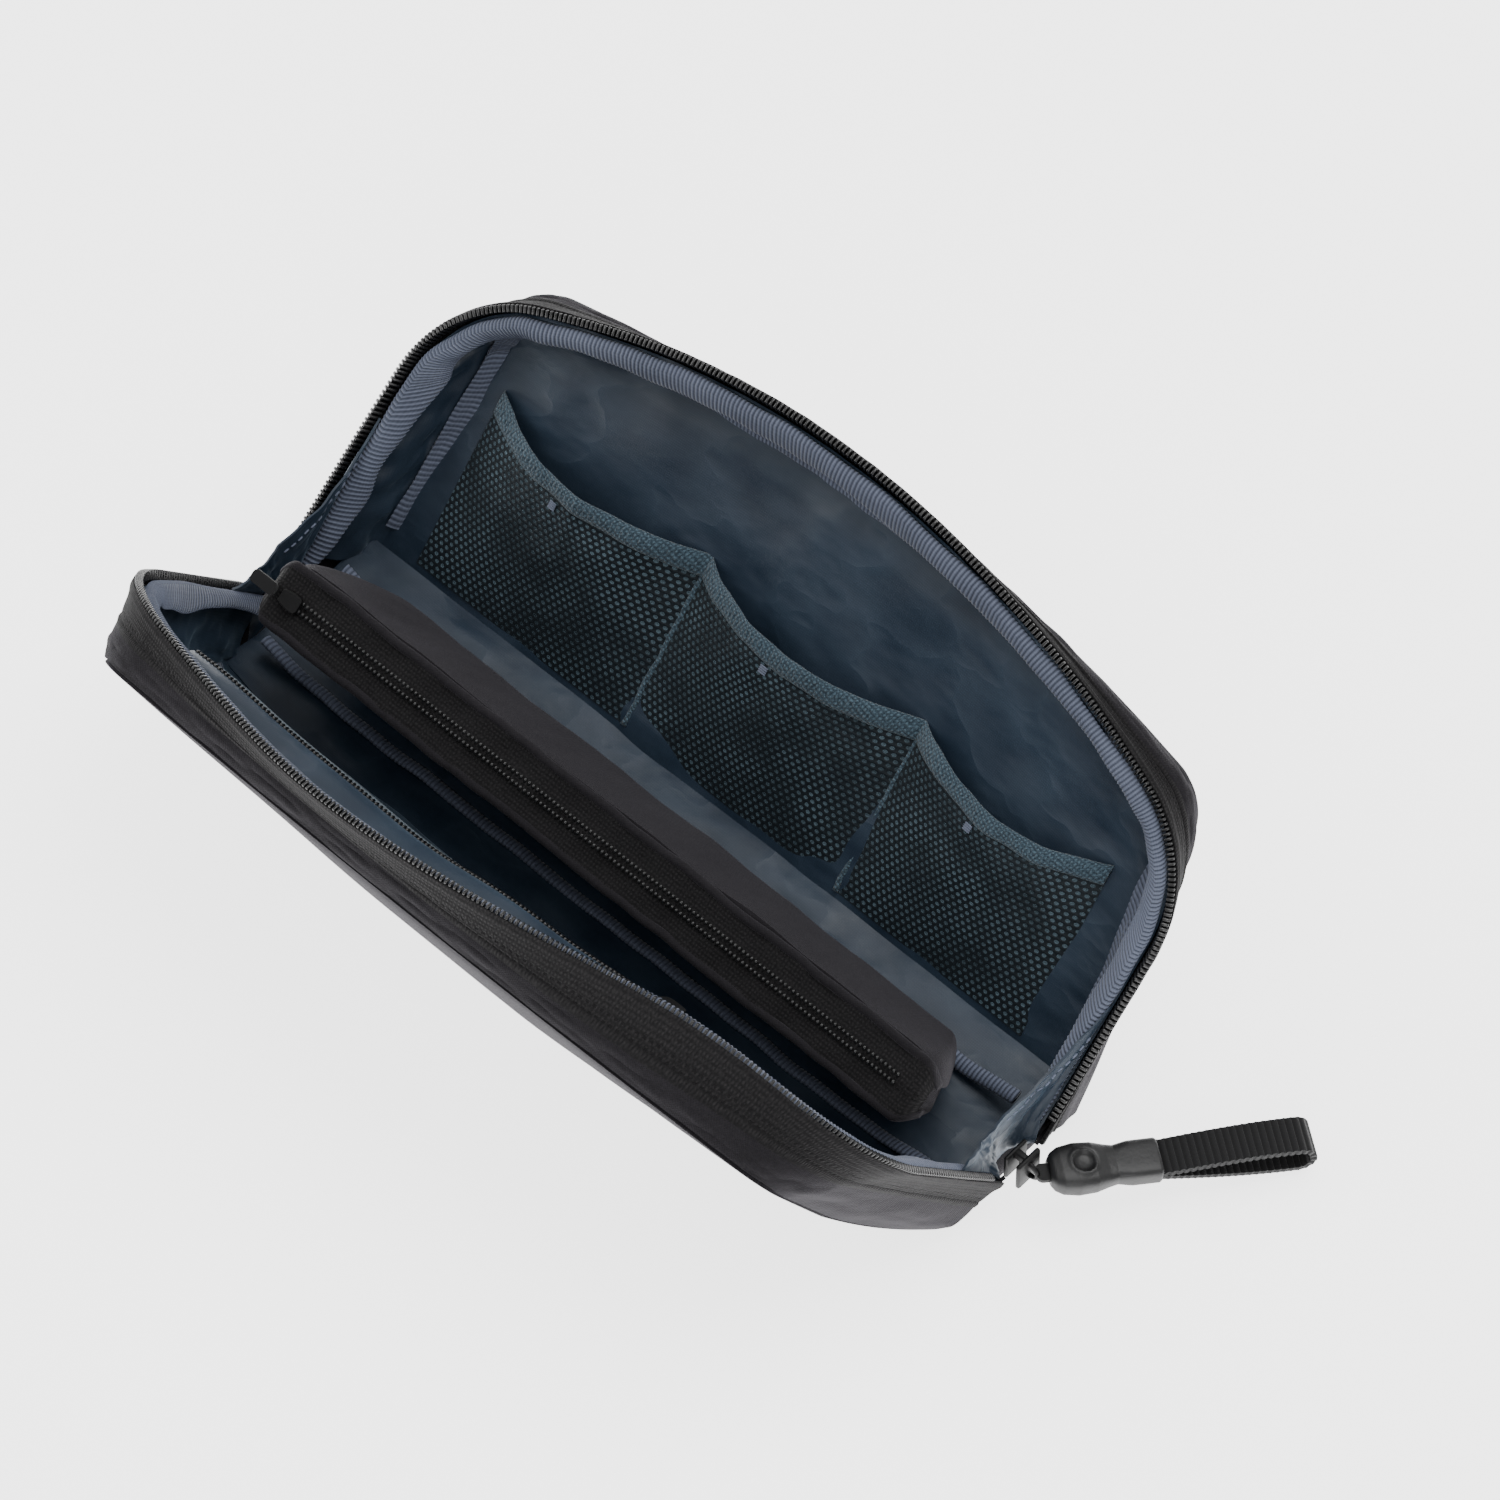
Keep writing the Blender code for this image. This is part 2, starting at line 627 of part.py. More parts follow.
def build_gusset(label):
    """Folded lining between the two halves at one end, tacked to the base in the middle."""
    sign = 1 if label == "right" else -1
    x_edge = sign * (MOUTH_HALF_WIDTH - BINDING_INSET - BINDING - 0.0016)
    x_fold = x_edge - sign * GUSSET_FOLD
    edge_depth = BINDING_END * 0.5
    base_z = FABRIC + GAP + BOARD + GAP + LINING + 0.0008
    grids = []
    for extra in (0.0, GUSSET_THICKNESS):
        grid = []
        for share in (0.0, 0.5, 1.0):
            low_z = BAND_FOOT_Z + 0.0010
            front = rest_point("front", x_edge - sign * extra, edge_depth,
                               low_z + GUSSET_FRONT_HEIGHT * share)
            back = rest_point("back", x_edge - sign * extra, edge_depth,
                              low_z + GUSSET_BACK_HEIGHT * share)
            middle = Vector((x_fold - sign * extra, 0.0, base_z + GUSSET_FRONT_HEIGHT * share))
            row = [front, front.lerp(middle, 0.5), middle, middle.lerp(back, 0.5), back]
            grid.append(row)
        grids.append(grid)
    bm = bmesh.new()
    sheet(bm, *grids)
    return finish(f"{label}_gusset", bm, "lining")


# ---------------------------------------------------------------- centre case
def case_half_thickness(z):
    """Half the case's thickness at a height above its foot: a narrow foot, then a full belly."""
    widen = math.sin(0.5 * math.pi * min(z / CASE_FOOT_HEIGHT, 1.0))
    belly = CASE_BULGE * math.sin(math.pi * min(z / CASE_HEIGHT, 1.0))
    return CASE_FOOT_HALF + (CASE_THICKNESS / 2 - CASE_FOOT_HALF) * widen + belly


def case_end_shift(z):
    """How far the case's ends draw in at a height, towards their rounded upper corners."""
    top = CASE_HEIGHT - 2 * PIPING_RADIUS - GAP
    over = min(max(0.0, z - (top - CASE_END_RADIUS)), CASE_END_RADIUS)
    return CASE_CORNER_DRAW * (1.0 - math.sqrt(1.0 - (over / CASE_END_RADIUS) ** 2))


def case_face(name, sign):
    """Front (-1) or back (+1) panel: an upright sheet with rounded upper corners."""
    half = CASE_LENGTH / 2 - FABRIC - GAP
    top = CASE_HEIGHT - 2 * PIPING_RADIUS - GAP
    grids = []
    for extra in (0.0, FABRIC):
        grid = []
        for row in range(7):
            z = top * row / 6
            reach = half - case_end_shift(z)
            line = []
            for col in range(9):
                x = CASE_MIDDLE_X - reach + 2 * reach * col / 8
                y = sign * (case_half_thickness(z) - extra)
                line.append((x, y, z))
            grid.append(line)
        grids.append(grid)
    bm = bmesh.new()
    sheet(bm, *grids)
    return finish(name, bm, "shell", case_foot)


def case_bar(name, finish_name, half_length, half_width, low_z, high_z, middle_y=0.0, radius=0.0060):
    bm = bmesh.new()
    radius = min(radius, half_width * 0.95)
    outline = rounded_rectangle(half_length, half_width, radius)
    loft(bm, [[(CASE_MIDDLE_X + x, middle_y + y, z) for x, y in outline] for z in (low_z, high_z)])
    return finish(name, bm, finish_name, case_foot)


def case_piping(name, sign):
    half = CASE_LENGTH / 2 - CASE_CORNER_DRAW
    y = sign * (CASE_THICKNESS / 2 - PIPING_RADIUS)
    z = CASE_HEIGHT - PIPING_RADIUS
    bm = bmesh.new()
    loops = []
    for x in (-half, half):
        loop = []
        for step in range(8):
            angle = 2 * math.pi * (step + 0.5) / 8
            loop.append((CASE_MIDDLE_X + x, y + PIPING_RADIUS * math.cos(angle),
                         z + PIPING_RADIUS * math.sin(angle)))
        loops.append(loop)
    loft(bm, loops)
    return finish(name, bm, "shell", case_foot)


def case_end(name, sign):
    """End wall of the case between its two faces."""
    x_outer = CASE_MIDDLE_X + sign * CASE_LENGTH / 2
    x_inner = x_outer - sign * FABRIC
    rows = 7
    top = CASE_HEIGHT - 2 * PIPING_RADIUS - GAP
    loops = []
    for row in range(rows):
        z = top * row / (rows - 1)
        half = case_half_thickness(z)
        shift = -sign * case_end_shift(z)
        loops.append([(x_outer + shift, -half, z), (x_outer + shift, half, z),
                      (x_inner + shift, half, z), (x_inner + shift, -half, z)])
    bm = bmesh.new()
    loft(bm, loops)
    return finish(name, bm, "shell", case_foot)


def build_case():
    case_face("case_front_panel", -1)
    case_face("case_back_panel", 1)
    case_end("case_left_end", -1)
    case_end("case_right_end", 1)
    case_piping("case_front_piping", -1)
    case_piping("case_back_piping", 1)
    half_top = CASE_LENGTH / 2 - CASE_CORNER_DRAW
    strip_half = CASE_THICKNESS / 2 - 2 * PIPING_RADIUS - GAP
    tape_top = CASE_HEIGHT - TAPE
    for label, sign in (("front", -1), ("back", 1)):
        inner = COIL_RADIUS + GAP
        width = strip_half - inner
        case_bar(f"case_zip_tape_{label}", "tape", half_top, width / 2, tape_top - TAPE, tape_top,
                 middle_y=sign * (inner + width / 2), radius=0.0010)
    bm = bmesh.new()
    loops = []
    for x in (-half_top + 0.0010, half_top - 0.0010):
        loop = []
        for step in range(8):
            angle = 2 * math.pi * (step + 0.5) / 8
            loop.append((CASE_MIDDLE_X + x, COIL_RADIUS * math.cos(angle),
                         tape_top - TAPE / 2 + COIL_RADIUS * math.sin(angle)))
        loops.append(loop)
    loft(bm, loops)
    finish("case_zip_coil", bm, "teeth", case_foot)
    case_bar("case_floor", "lining", CASE_LENGTH / 2 - FABRIC - 2 * GAP,
             CASE_FOOT_HALF - FABRIC - GAP, 0.0, LINING, radius=0.0015)
    case_lining()
    bm = bmesh.new()
    half = CASE_LENGTH / 2 - CASE_WEB_MARGIN
    box(bm, (CASE_MIDDLE_X - half, -CASE_WEB_HALF, -CASE_WEB_HEIGHT - GAP),
        (CASE_MIDDLE_X + half, CASE_WEB_HALF, -GAP))
    finish("case_base_web", bm, "lining", case_foot, smooth=False)


def case_lining():
    """Inner bag of the case: a tube of lining between its floor and its zipper."""
    low_z = LINING + GAP
    high_z = CASE_HEIGHT - 2 * TAPE - PIPING_RADIUS - CASE_LINING_TOP
    steps = 5
    rings = []
    for extra in (0.0, LINING):
        for step in range(steps + 1):
            z = low_z + (high_z - low_z) * step / steps
            half_length = CASE_LENGTH / 2 - case_end_shift(z) - FABRIC - CASE_LINING_EASE - extra
            half_width = case_half_thickness(z) - FABRIC - 2 * GAP - extra
            ring = rounded_rectangle(half_length, half_width, half_width * 0.35)
            rings.append([(CASE_MIDDLE_X + x, y, z) for x, y in ring])
    outer, inner = rings[:steps + 1], rings[steps + 1:]
    sections = list(zip(*outer, *inner[::-1]))
    bm = bmesh.new()
    loft(bm, sections, closed=True)
    return finish("case_lining", bm, "lining", case_foot)


# ---------------------------------------------------------------- sliders and pulls
def slider_body(name, parent, scale=1.0):
    """A zip slider lying in its own frame: travel along X, outwards along Z, with a bridge."""
    length = SLIDER_LENGTH * scale
    width = SLIDER_WIDTH * scale
    height = SLIDER_HEIGHT * scale
    bm = bmesh.new()
    loops = []
    profile = ((-0.5, 0.32), (-0.3, 0.42), (0.1, 0.50), (0.42, 0.46), (0.5, 0.30))
    for share, half_share in profile:
        x = share * length
        half = half_share * width
        low, high = 0.0, height * SLIDER_BODY
        loops.append([(x, -half, low), (x, half, low), (x, half, high), (x, -half, high)])
    loft(bm, loops)
    item = finish(name, bm, "metal", parent)
    return add_bevel(item, 0.0003 * scale)


def pull_tab(name, parent, length, width, thickness, finish_name, start):
    """A flat tab along +X of its frame, with a rounded end."""
    bm = bmesh.new()
    outline = rounded_rectangle(length / 2, width / 2, width * 0.35)
    loft(bm, [[(start + length / 2 + x, y, z) for x, y in outline]
              for z in (-thickness / 2, thickness / 2)])
    return finish(name, bm, finish_name, parent)


def axes(x_axis, z_hint):
    """Rotation whose X is x_axis and whose Z is as near z_hint as it can be."""
    x_axis = Vector(x_axis).normalized()
    y_axis = Vector(z_hint).cross(x_axis).normalized()
    z_axis = x_axis.cross(y_axis)
    return Matrix((x_axis, y_axis, z_axis)).transposed().to_4x4()


def build_main_slider():
    """Slider at the right end of the main zipper, with its bail, rubber grip and webbing loop."""
    travel = make_empty("main_slider_frame", Vector((MAIN_SLIDER_X, 0.0, MAIN_SLIDER_Z)),
                        axes((0, 0, 1), (1, 0, 0)))
    slider_body("main_slider", travel)
    heading = math.radians(PULL_HEADING)
    drop = math.radians(PULL_DROP)
    direction = Vector((math.cos(heading) * math.cos(drop), math.sin(heading) * math.cos(drop),
                        -math.sin(drop)))
    pivot = Vector((MAIN_SLIDER_X + SLIDER_TOP + BAIL_OFFSET, 0.0, MAIN_SLIDER_Z))
    frame = make_empty("main_pull_frame", pivot, axes(direction, (0, 0, 1)))
    pull_tab("main_pull_bail", frame, BAIL_LENGTH, BAIL_WIDTH, BAIL_THICKNESS, "metal", 0.0)
    grip_start = BAIL_LENGTH + GAP
    bm = bmesh.new()
    loops = []
    stations = ((0.0, 0.30), (0.06, 0.44), (0.20, 0.50), (0.42, 0.50), (0.56, 0.41),
                (0.64, 0.385), (0.80, 0.40), (0.97, 0.40), (1.0, 0.37))
    for share, half_share in stations:
        half = GRIP_WIDTH * half_share
        thick = GRIP_THICKNESS / 2 * (0.75 + 0.5 * (half_share - 0.37))
        x = grip_start + GRIP_LENGTH * share
        section = rounded_rectangle(half, thick, thick * 0.75, 3)
        loops.append([(x, y, z) for y, z in section])
    loft(bm, loops)
    finish("pull_rubber_grip", bm, "rubber", frame)
    build_loop(frame, grip_start + GRIP_LENGTH + GAP)


def build_loop(frame, start):
    """Webbing folded back on itself: two runs that start together and part towards the fold."""
    bm = bmesh.new()
    outer, inner = [], []
    steps = 5
    reach = LOOP_LENGTH - LOOP_OPENING / 2 - LOOP_THICKNESS
    for step in range(steps + 1):
        share = step / steps
        gap = LOOP_OPENING / 2 * math.sin(0.5 * math.pi * share)
        x = start + reach * share
        outer.append((x, gap + LOOP_THICKNESS))
        inner.append((x, max(gap, 0.0002)))
    turn = 4
    for step in range(1, turn):
        angle = math.pi / 2 - math.pi * step / turn
        x = start + reach
        outer.append((x + (LOOP_OPENING / 2 + LOOP_THICKNESS) * math.cos(angle),
                      (LOOP_OPENING / 2 + LOOP_THICKNESS) * math.sin(angle)))
        inner.append((x + LOOP_OPENING / 2 * math.cos(angle), LOOP_OPENING / 2 * math.sin(angle)))
    count = steps + 1
    outer += [(x, -z) for x, z in reversed(outer[:count])]
    inner += [(x, -z) for x, z in reversed(inner[:count])]
    half = LOOP_WIDTH / 2
    loops = []
    for (x_out, z_out), (x_in, z_in) in zip(outer, inner):
        loops.append([(x_out, -half, z_out), (x_out, half, z_out),
                      (x_in, half, z_in), (x_in, -half, z_in)])
    loft(bm, loops)
    return finish("pull_webbing_loop", bm, "webbing", frame)


def build_case_slider():
    x = CASE_MIDDLE_X - CASE_LENGTH / 2 + CASE_SLIDER_FROM_END
    rotation = case_foot.matrix_world.to_quaternion().to_matrix().to_4x4()
    lift = CASE_HEIGHT + TAPE_CLEARANCE
    place = case_foot.matrix_world @ Vector((x, 0.0, lift))
    travel = make_empty("case_slider_frame", place, rotation)
    slider_body("case_slider", travel, SMALL_SLIDER)
    nose = SLIDER_LENGTH * SMALL_SLIDER / 2
    pivot = case_foot.matrix_world @ Vector((x - nose, 0.0, lift + SLIDER_TOP))
    frame = make_empty("case_pull_frame", pivot,
                       rotation @ Matrix.Rotation(math.radians(180), 4, "Z"))
    pull_tab("case_pull_tab", frame, CASE_TAB_LENGTH, CASE_TAB_WIDTH, CASE_TAB_THICKNESS,
             "webbing", TAB_START)


def build_front_pocket_slider():
    x = POCKET_SLIDER_X
    depth = front_pocket_depth(FRONT_POCKET_ZIP_Z) - TAPE / 2 - COIL_RADIUS - GAP
    local = in_half("front", [(x, depth, FRONT_POCKET_ZIP_Z)])[0]
    fold = folds["front"].matrix_world
    turn = fold.to_quaternion().to_matrix()
    inward = turn @ Vector((0, 1, 0))
    travel = make_empty("front_pocket_slider_frame", fold @ local, axes((1, 0, 0), inward))
    slider_body("front_pocket_slider", travel, SMALL_SLIDER)
    pivot = fold @ local + inward * (SLIDER_TOP + GAP)
    down = turn @ Vector((0, 0, -1))
    frame = make_empty("front_pocket_pull_frame", pivot, axes(down, inward))
    pull_tab("front_pocket_pull", frame, POCKET_PULL_LENGTH, POCKET_PULL_WIDTH,
             POCKET_PULL_THICKNESS, "rubber", TAB_START)


# ---------------------------------------------------------------- assembly
MAIN_SLIDER_X = MOUTH_HALF_WIDTH + COIL_RADIUS + TAPE_CLEARANCE
MAIN_SLIDER_Z = ZIP_END_Z + SLIDER_LENGTH / 2 - 0.0010

clear_scene()
parts_collection = bpy.data.collections.new("cable_organizer_pouch")
bpy.context.scene.collection.children.link(parts_collection)
materials = {name: make_material(name) for name in COLOURS}

folds = {}
for half_side, turn_sign in (("front", 1), ("back", -1)):
    fold_y = BASE_HALF_WIDTH * (1 if half_side == "back" else -1)
    opening = Matrix.Rotation(math.radians(turn_sign * OPEN_ANGLE[half_side]), 4, "X")
    folds[half_side] = make_empty(f"{half_side}_fold", Vector((0, fold_y, FOLD_Z)), opening)
case_foot = make_empty("case_foot", Vector((0, CASE_FOOT_Y, CASE_FOOT_Z)),
                       Matrix.Rotation(math.radians(CASE_LEAN), 4, "X"))

build_base()
for half_side in ("front", "back"):
    build_half(half_side)
for end_label in ("left", "right"):
    build_gusset(end_label)
back_pocket()
front_pocket()
build_case()
build_main_slider()
build_case_slider()
build_front_pocket_slider()
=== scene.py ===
"""Looks of a zip-round cable organizer pouch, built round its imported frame."""
import json
import logging
import math
from dataclasses import dataclass
from enum import Enum
from typing import Any, Callable, Sequence

import bpy
import numpy as np
from mathutils import Matrix, Vector


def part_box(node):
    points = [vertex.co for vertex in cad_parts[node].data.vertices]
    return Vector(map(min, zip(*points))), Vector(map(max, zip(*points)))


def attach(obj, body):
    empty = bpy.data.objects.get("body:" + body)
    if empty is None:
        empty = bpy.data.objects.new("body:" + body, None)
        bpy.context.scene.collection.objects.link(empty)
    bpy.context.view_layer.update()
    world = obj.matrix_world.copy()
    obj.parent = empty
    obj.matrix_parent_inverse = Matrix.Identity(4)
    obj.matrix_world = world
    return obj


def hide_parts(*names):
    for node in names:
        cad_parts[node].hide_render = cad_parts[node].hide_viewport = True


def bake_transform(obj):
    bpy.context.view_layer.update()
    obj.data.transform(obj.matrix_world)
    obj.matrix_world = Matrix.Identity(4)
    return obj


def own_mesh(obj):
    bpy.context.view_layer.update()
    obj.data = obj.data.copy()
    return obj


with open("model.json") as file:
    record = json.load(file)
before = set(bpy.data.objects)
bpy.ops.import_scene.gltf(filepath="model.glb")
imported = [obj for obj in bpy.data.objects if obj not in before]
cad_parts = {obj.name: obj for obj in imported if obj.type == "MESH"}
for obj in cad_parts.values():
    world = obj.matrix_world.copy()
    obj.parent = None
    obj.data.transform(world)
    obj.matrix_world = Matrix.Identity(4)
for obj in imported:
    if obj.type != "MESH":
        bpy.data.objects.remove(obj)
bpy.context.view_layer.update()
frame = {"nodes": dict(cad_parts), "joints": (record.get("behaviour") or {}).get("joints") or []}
LOG = logging.getLogger("pouch")
Array = np.ndarray
Colour = tuple[float, float, float]
SIDES = ("front", "back")
TURN = 2 * math.pi
RIB_PITCH = 0.00125         # ribs of the grosgrain
WEBBING_PITCH = 0.0018      # ribs of the webbing
LINING_CLOTH = 0.0006       # thickness of the lining
TURNED_CLOTH = 0.0011       # thickness of shell fabric that is turned in
NET_CLOTH = 0.00035         # thickness of the net
SMALL_TOOTH_PITCH = 0.0013  # teeth of the front pocket's zipper
LEG_POINTS, SHOULDER_POINTS, TOP_POINTS = 40, 40, 60


# ---- shader tools
class Value:
    """A number on a shader socket; arithmetic on it adds Math nodes."""

    def __init__(self, shader: "Shader", socket: Any) -> None:
        """Wrap a socket.

        Args:
            shader: The material builder that owns the nodes.
            socket: The output socket that carries the number.
        """
        self.shader = shader
        self.socket = socket

    def math(self, operation: str, *others: Any) -> "Value":
        """Add one Math node.

        Args:
            operation: Blender's name of the operation.
            others: The second and third operands.

        Returns:
            The node's result.
        """
        return self.shader.math(operation, self, *others)

    def __add__(self, other: Any) -> "Value":
        """Sum."""
        return self.math("ADD", other)

    __radd__ = __add__

    def __sub__(self, other: Any) -> "Value":
        """Difference."""
        return self.math("SUBTRACT", other)

    def __rsub__(self, other: Any) -> "Value":
        """Difference with this value last."""
        return self.shader.math("SUBTRACT", other, self)

    def __mul__(self, other: Any) -> "Value":
        """Product."""
        return self.math("MULTIPLY", other)

    __rmul__ = __mul__

    def __truediv__(self, other: Any) -> "Value":
        """Quotient."""
        return self.math("DIVIDE", other)

    def ramp(self, low: float, high: float) -> "Value":
        """Smooth step from 0 at low to 1 at high.

        Args:
            low: Input that gives 0.
            high: Input that gives 1.

        Returns:
            The stepped value.
        """
        node = self.shader.node(
            "ShaderNodeMapRange", {"interpolation_type": "SMOOTHSTEP"},
            {"Value": self, "From Min": low, "From Max": high})
        return Value(self.shader, node.outputs["Result"])


class Shader:
    """Builds one material round a Principled shader."""

    def __init__(self, name: str) -> None:
        """Start a material.

        Args:
            name: The material's name.
        """
        self.material = bpy.data.materials.new(name)
        self.material.use_nodes = True
        self.tree = self.material.node_tree
        self.surface = self.tree.nodes["Principled BSDF"]

    def node(self, kind: str, settings: dict[str, Any], inputs: dict[Any, Any]) -> Any:
        """Add a node.

        Args:
            kind: The node's type.
            settings: Properties that are set first.
            inputs: Socket values or links by socket name or index.

        Returns:
            The node.
        """
        made = self.tree.nodes.new(kind)
        for key, value in settings.items():
            setattr(made, key, value)
        for key, value in inputs.items():
            self.feed(made.inputs[key], value)
        return made

    def feed(self, socket: Any, value: Any) -> None:
        """Put a constant or a link on a socket.

        Args:
            socket: The input socket.
            value: A Value, an output socket or a constant.
        """
        if isinstance(value, Value):
            self.tree.links.new(value.socket, socket)
        elif isinstance(value, bpy.types.NodeSocket):
            self.tree.links.new(value, socket)
        else:
            socket.default_value = value

    def math(self, operation: str, *operands: Any) -> Value:
        """Add a Math node.

        Args:
            operation: Blender's name of the operation.
            operands: Up to three values.

        Returns:
            The result.
        """
        made = self.node("ShaderNodeMath", {"operation": operation}, dict(enumerate(operands)))
        return Value(self, made.outputs[0])

    def cloth(self) -> tuple[Value, Value, Any]:
        """Place on the cloth, in metres along its two directions.

        Returns:
            The two coordinates and the vector they come from.
        """
        uv = self.node("ShaderNodeUVMap", {"uv_map": "cloth"}, {})
        parts = self.node("ShaderNodeSeparateXYZ", {}, {0: uv.outputs[0]})
        return Value(self, parts.outputs[0]), Value(self, parts.outputs[1]), uv.outputs[0]

    def place(self) -> Any:
        """Object coordinates, in metres."""
        return self.node("ShaderNodeTexCoord", {}, {}).outputs["Object"]

    def noise(self, vector: Any, scale: float, detail: float = 3.0, roughness: float = 0.55,
              stretch: tuple[float, float, float] = (1.0, 1.0, 1.0)) -> Value:
        """Noise between about 0.2 and 0.8.

        Args:
            vector: Coordinates in metres.
            scale: Features per metre.
            detail: Octaves.
            roughness: Weight of the fine octaves.
            stretch: Factors on the coordinates before the noise reads them.

        Returns:
            The noise.
        """
        scaled = self.node("ShaderNodeVectorMath", {"operation": "MULTIPLY"},
                           {0: vector, 1: stretch})
        made = self.node("ShaderNodeTexNoise", {"noise_dimensions": "3D"},
                         {"Vector": scaled.outputs[0], "Scale": scale, "Detail": detail,
                          "Roughness": roughness})
        return Value(self, made.outputs["Fac"])

    def wave(self, along: Value, pitch: float) -> Value:
        """A sine from 0 to 1 with a real pitch.

        Args:
            along: Coordinate in metres.
            pitch: Length of one period, in metres.

        Returns:
            The wave.
        """
        return (along * (TURN / pitch)).math("SINE") * 0.5 + 0.5

    def mix(self, factor: Any, first: Any, second: Any) -> Any:
        """Mix two colours.

        Args:
            factor: Share of the second colour.
            first: A colour or a colour socket.
            second: A colour or a colour socket.

        Returns:
            The mixed colour's socket.
        """
        made = self.node("ShaderNodeMix", {"data_type": "RGBA"}, {})
        self.feed(made.inputs[0], factor)
        for socket, colour in ((made.inputs[6], first), (made.inputs[7], second)):
            self.feed(socket, (*colour, 1.0) if isinstance(colour, tuple) else colour)
        return made.outputs[2]

    def bump(self, height: Value, depth: float, strength: float = 1.0) -> None:
        """Feed a height to the surface's normal.

        Args:
            height: The height, from 0 to 1.
            depth: What a height of 1 stands for, in metres.
            strength: Share of the bump that is used.
        """
        made = self.node("ShaderNodeBump", {},
                         {"Height": height, "Distance": depth, "Strength": strength})
        self.feed(self.surface.inputs["Normal"], made.outputs[0])

    def set(self, **inputs: Any) -> None:
        """Set sockets of the surface; underscores stand for spaces.

        Args:
            inputs: Values or links by socket name.
        """
        for key, value in inputs.items():
            if isinstance(value, tuple) and len(value) == 3:
                value = (*value, 1.0)
            self.feed(self.surface.inputs[key.replace("_", " ")], value)


# ---- finishes
@dataclass(frozen=True)
class WovenShell:
    """Charcoal plain-weave polyester with a faint heather."""

    name: str = "charcoal_shell"
    dark: Colour = (0.0046, 0.0041, 0.0053)
    light: Colour = (0.0168, 0.0150, 0.0182)
    thread: float = 0.00078
    waver: float = 0.0003
    bump_depth: float = 0.00009
    roughness: float = 0.86

    def material(self) -> Any:
        """Returns: The material."""
        s = Shader(self.name)
        u, v, uv = s.cloth()
        slub = s.noise(uv, 900.0, 2.0, 0.6, (1.0, 3.0, 1.0)) - 0.5
        warp = s.wave(u + slub * self.waver, self.thread)
        weft = s.wave(v + slub * self.waver, self.thread)
        weave = warp * weft + (1 - warp) * (1 - weft)
        heather = s.noise(uv, 620.0, 4.0, 0.75, (1.0, 2.2, 1.0)).ramp(0.36, 0.68)
        cloudy = s.noise(s.place(), 22.0, 3.0).ramp(0.30, 0.75)
        tone = weave * 0.45 + heather * 0.42 + cloudy * 0.22
        s.set(Base_Color=s.mix(tone, self.dark, self.light), Roughness=self.roughness,
              Sheen_Weight=0.10, Sheen_Roughness=0.5, Specular_IOR_Level=0.22)
        s.feed(s.surface.inputs["Sheen Tint"], (0.80, 0.76, 0.85, 1.0))
        crease = s.noise(s.place(), 60.0, 3.0)
        s.bump(weave * 0.75 + heather * 0.5 + crease * 3.5, self.bump_depth)
        return s.material


@dataclass(frozen=True)
class RibTape:
    """Woven zipper tape: fine ribs across the strip with speckles between them."""

    name: str = "zipper_tape"
    dark: Colour = (0.0055, 0.0052, 0.0058)
    light: Colour = (0.0250, 0.0235, 0.0245)
    pitch: float = 0.0010
    across: float = 0.0011
    stitch_pitch: float = 0.0021
    stitch_rows: tuple[float, float] = (0.0072, 0.0056)
    bump_depth: float = 0.00012

    def material(self) -> Any:
        """Returns: The material."""
        s = Shader(self.name)
        u, v, uv = s.cloth()
        ribs = s.wave(u, self.pitch)
        rows = s.wave(v, self.across)
        speckle = s.noise(uv, 1400.0, 2.0, 0.6).ramp(0.42, 0.64)
        hole = s.wave(u, self.stitch_pitch).ramp(0.25, 0.75)
        first, second = ((v - row).math("ABSOLUTE") * 1000 for row in self.stitch_rows)
        stitch = hole * (1 - first.math("MINIMUM", second).ramp(0.15, 0.42))
        tone = ribs * rows * 0.55 + speckle * 0.35 - stitch * 0.6
        s.set(Base_Color=s.mix(tone, self.dark, self.light), Roughness=0.9,
              Sheen_Weight=0.06, Sheen_Roughness=0.5, Specular_IOR_Level=0.2)
        s.bump(ribs * rows + speckle * 0.4 - stitch * 2.2, self.bump_depth)
        return s.material


@dataclass(frozen=True)
class Grosgrain:
    """Ribbed binding tape: dull grey-blue ribs with dark furrows."""

    name: str = "grey_blue_binding"
    dark: Colour = (0.0150, 0.0205, 0.0360)
    light: Colour = (0.1700, 0.1950, 0.2700)
    pitch: float = RIB_PITCH
    thread: float = 0.0005
    bump_depth: float = 0.00016

    def material(self) -> Any:
        """Returns: The material."""
        s = Shader(self.name)
        u, v, uv = s.cloth()
        wobble = s.noise(uv, 300.0, 2.0) * 0.0003
        ribs = s.wave(u + wobble, self.pitch)
        thread = s.wave(v, self.thread) * 0.25 + s.noise(uv, 1800.0, 2.0) * 0.35
        soil = s.noise(s.place(), 40.0, 3.0).ramp(0.3, 0.8)
        tone = ribs.math("POWER", 0.8) * 0.62 + thread * 0.35 + soil * 0.16
        s.set(Base_Color=s.mix(tone, self.dark, self.light), Roughness=0.72,
              Sheen_Weight=0.25, Sheen_Roughness=0.4, Specular_IOR_Level=0.35)
        s.bump(ribs + thread * 0.4, self.bump_depth)
        return s.material


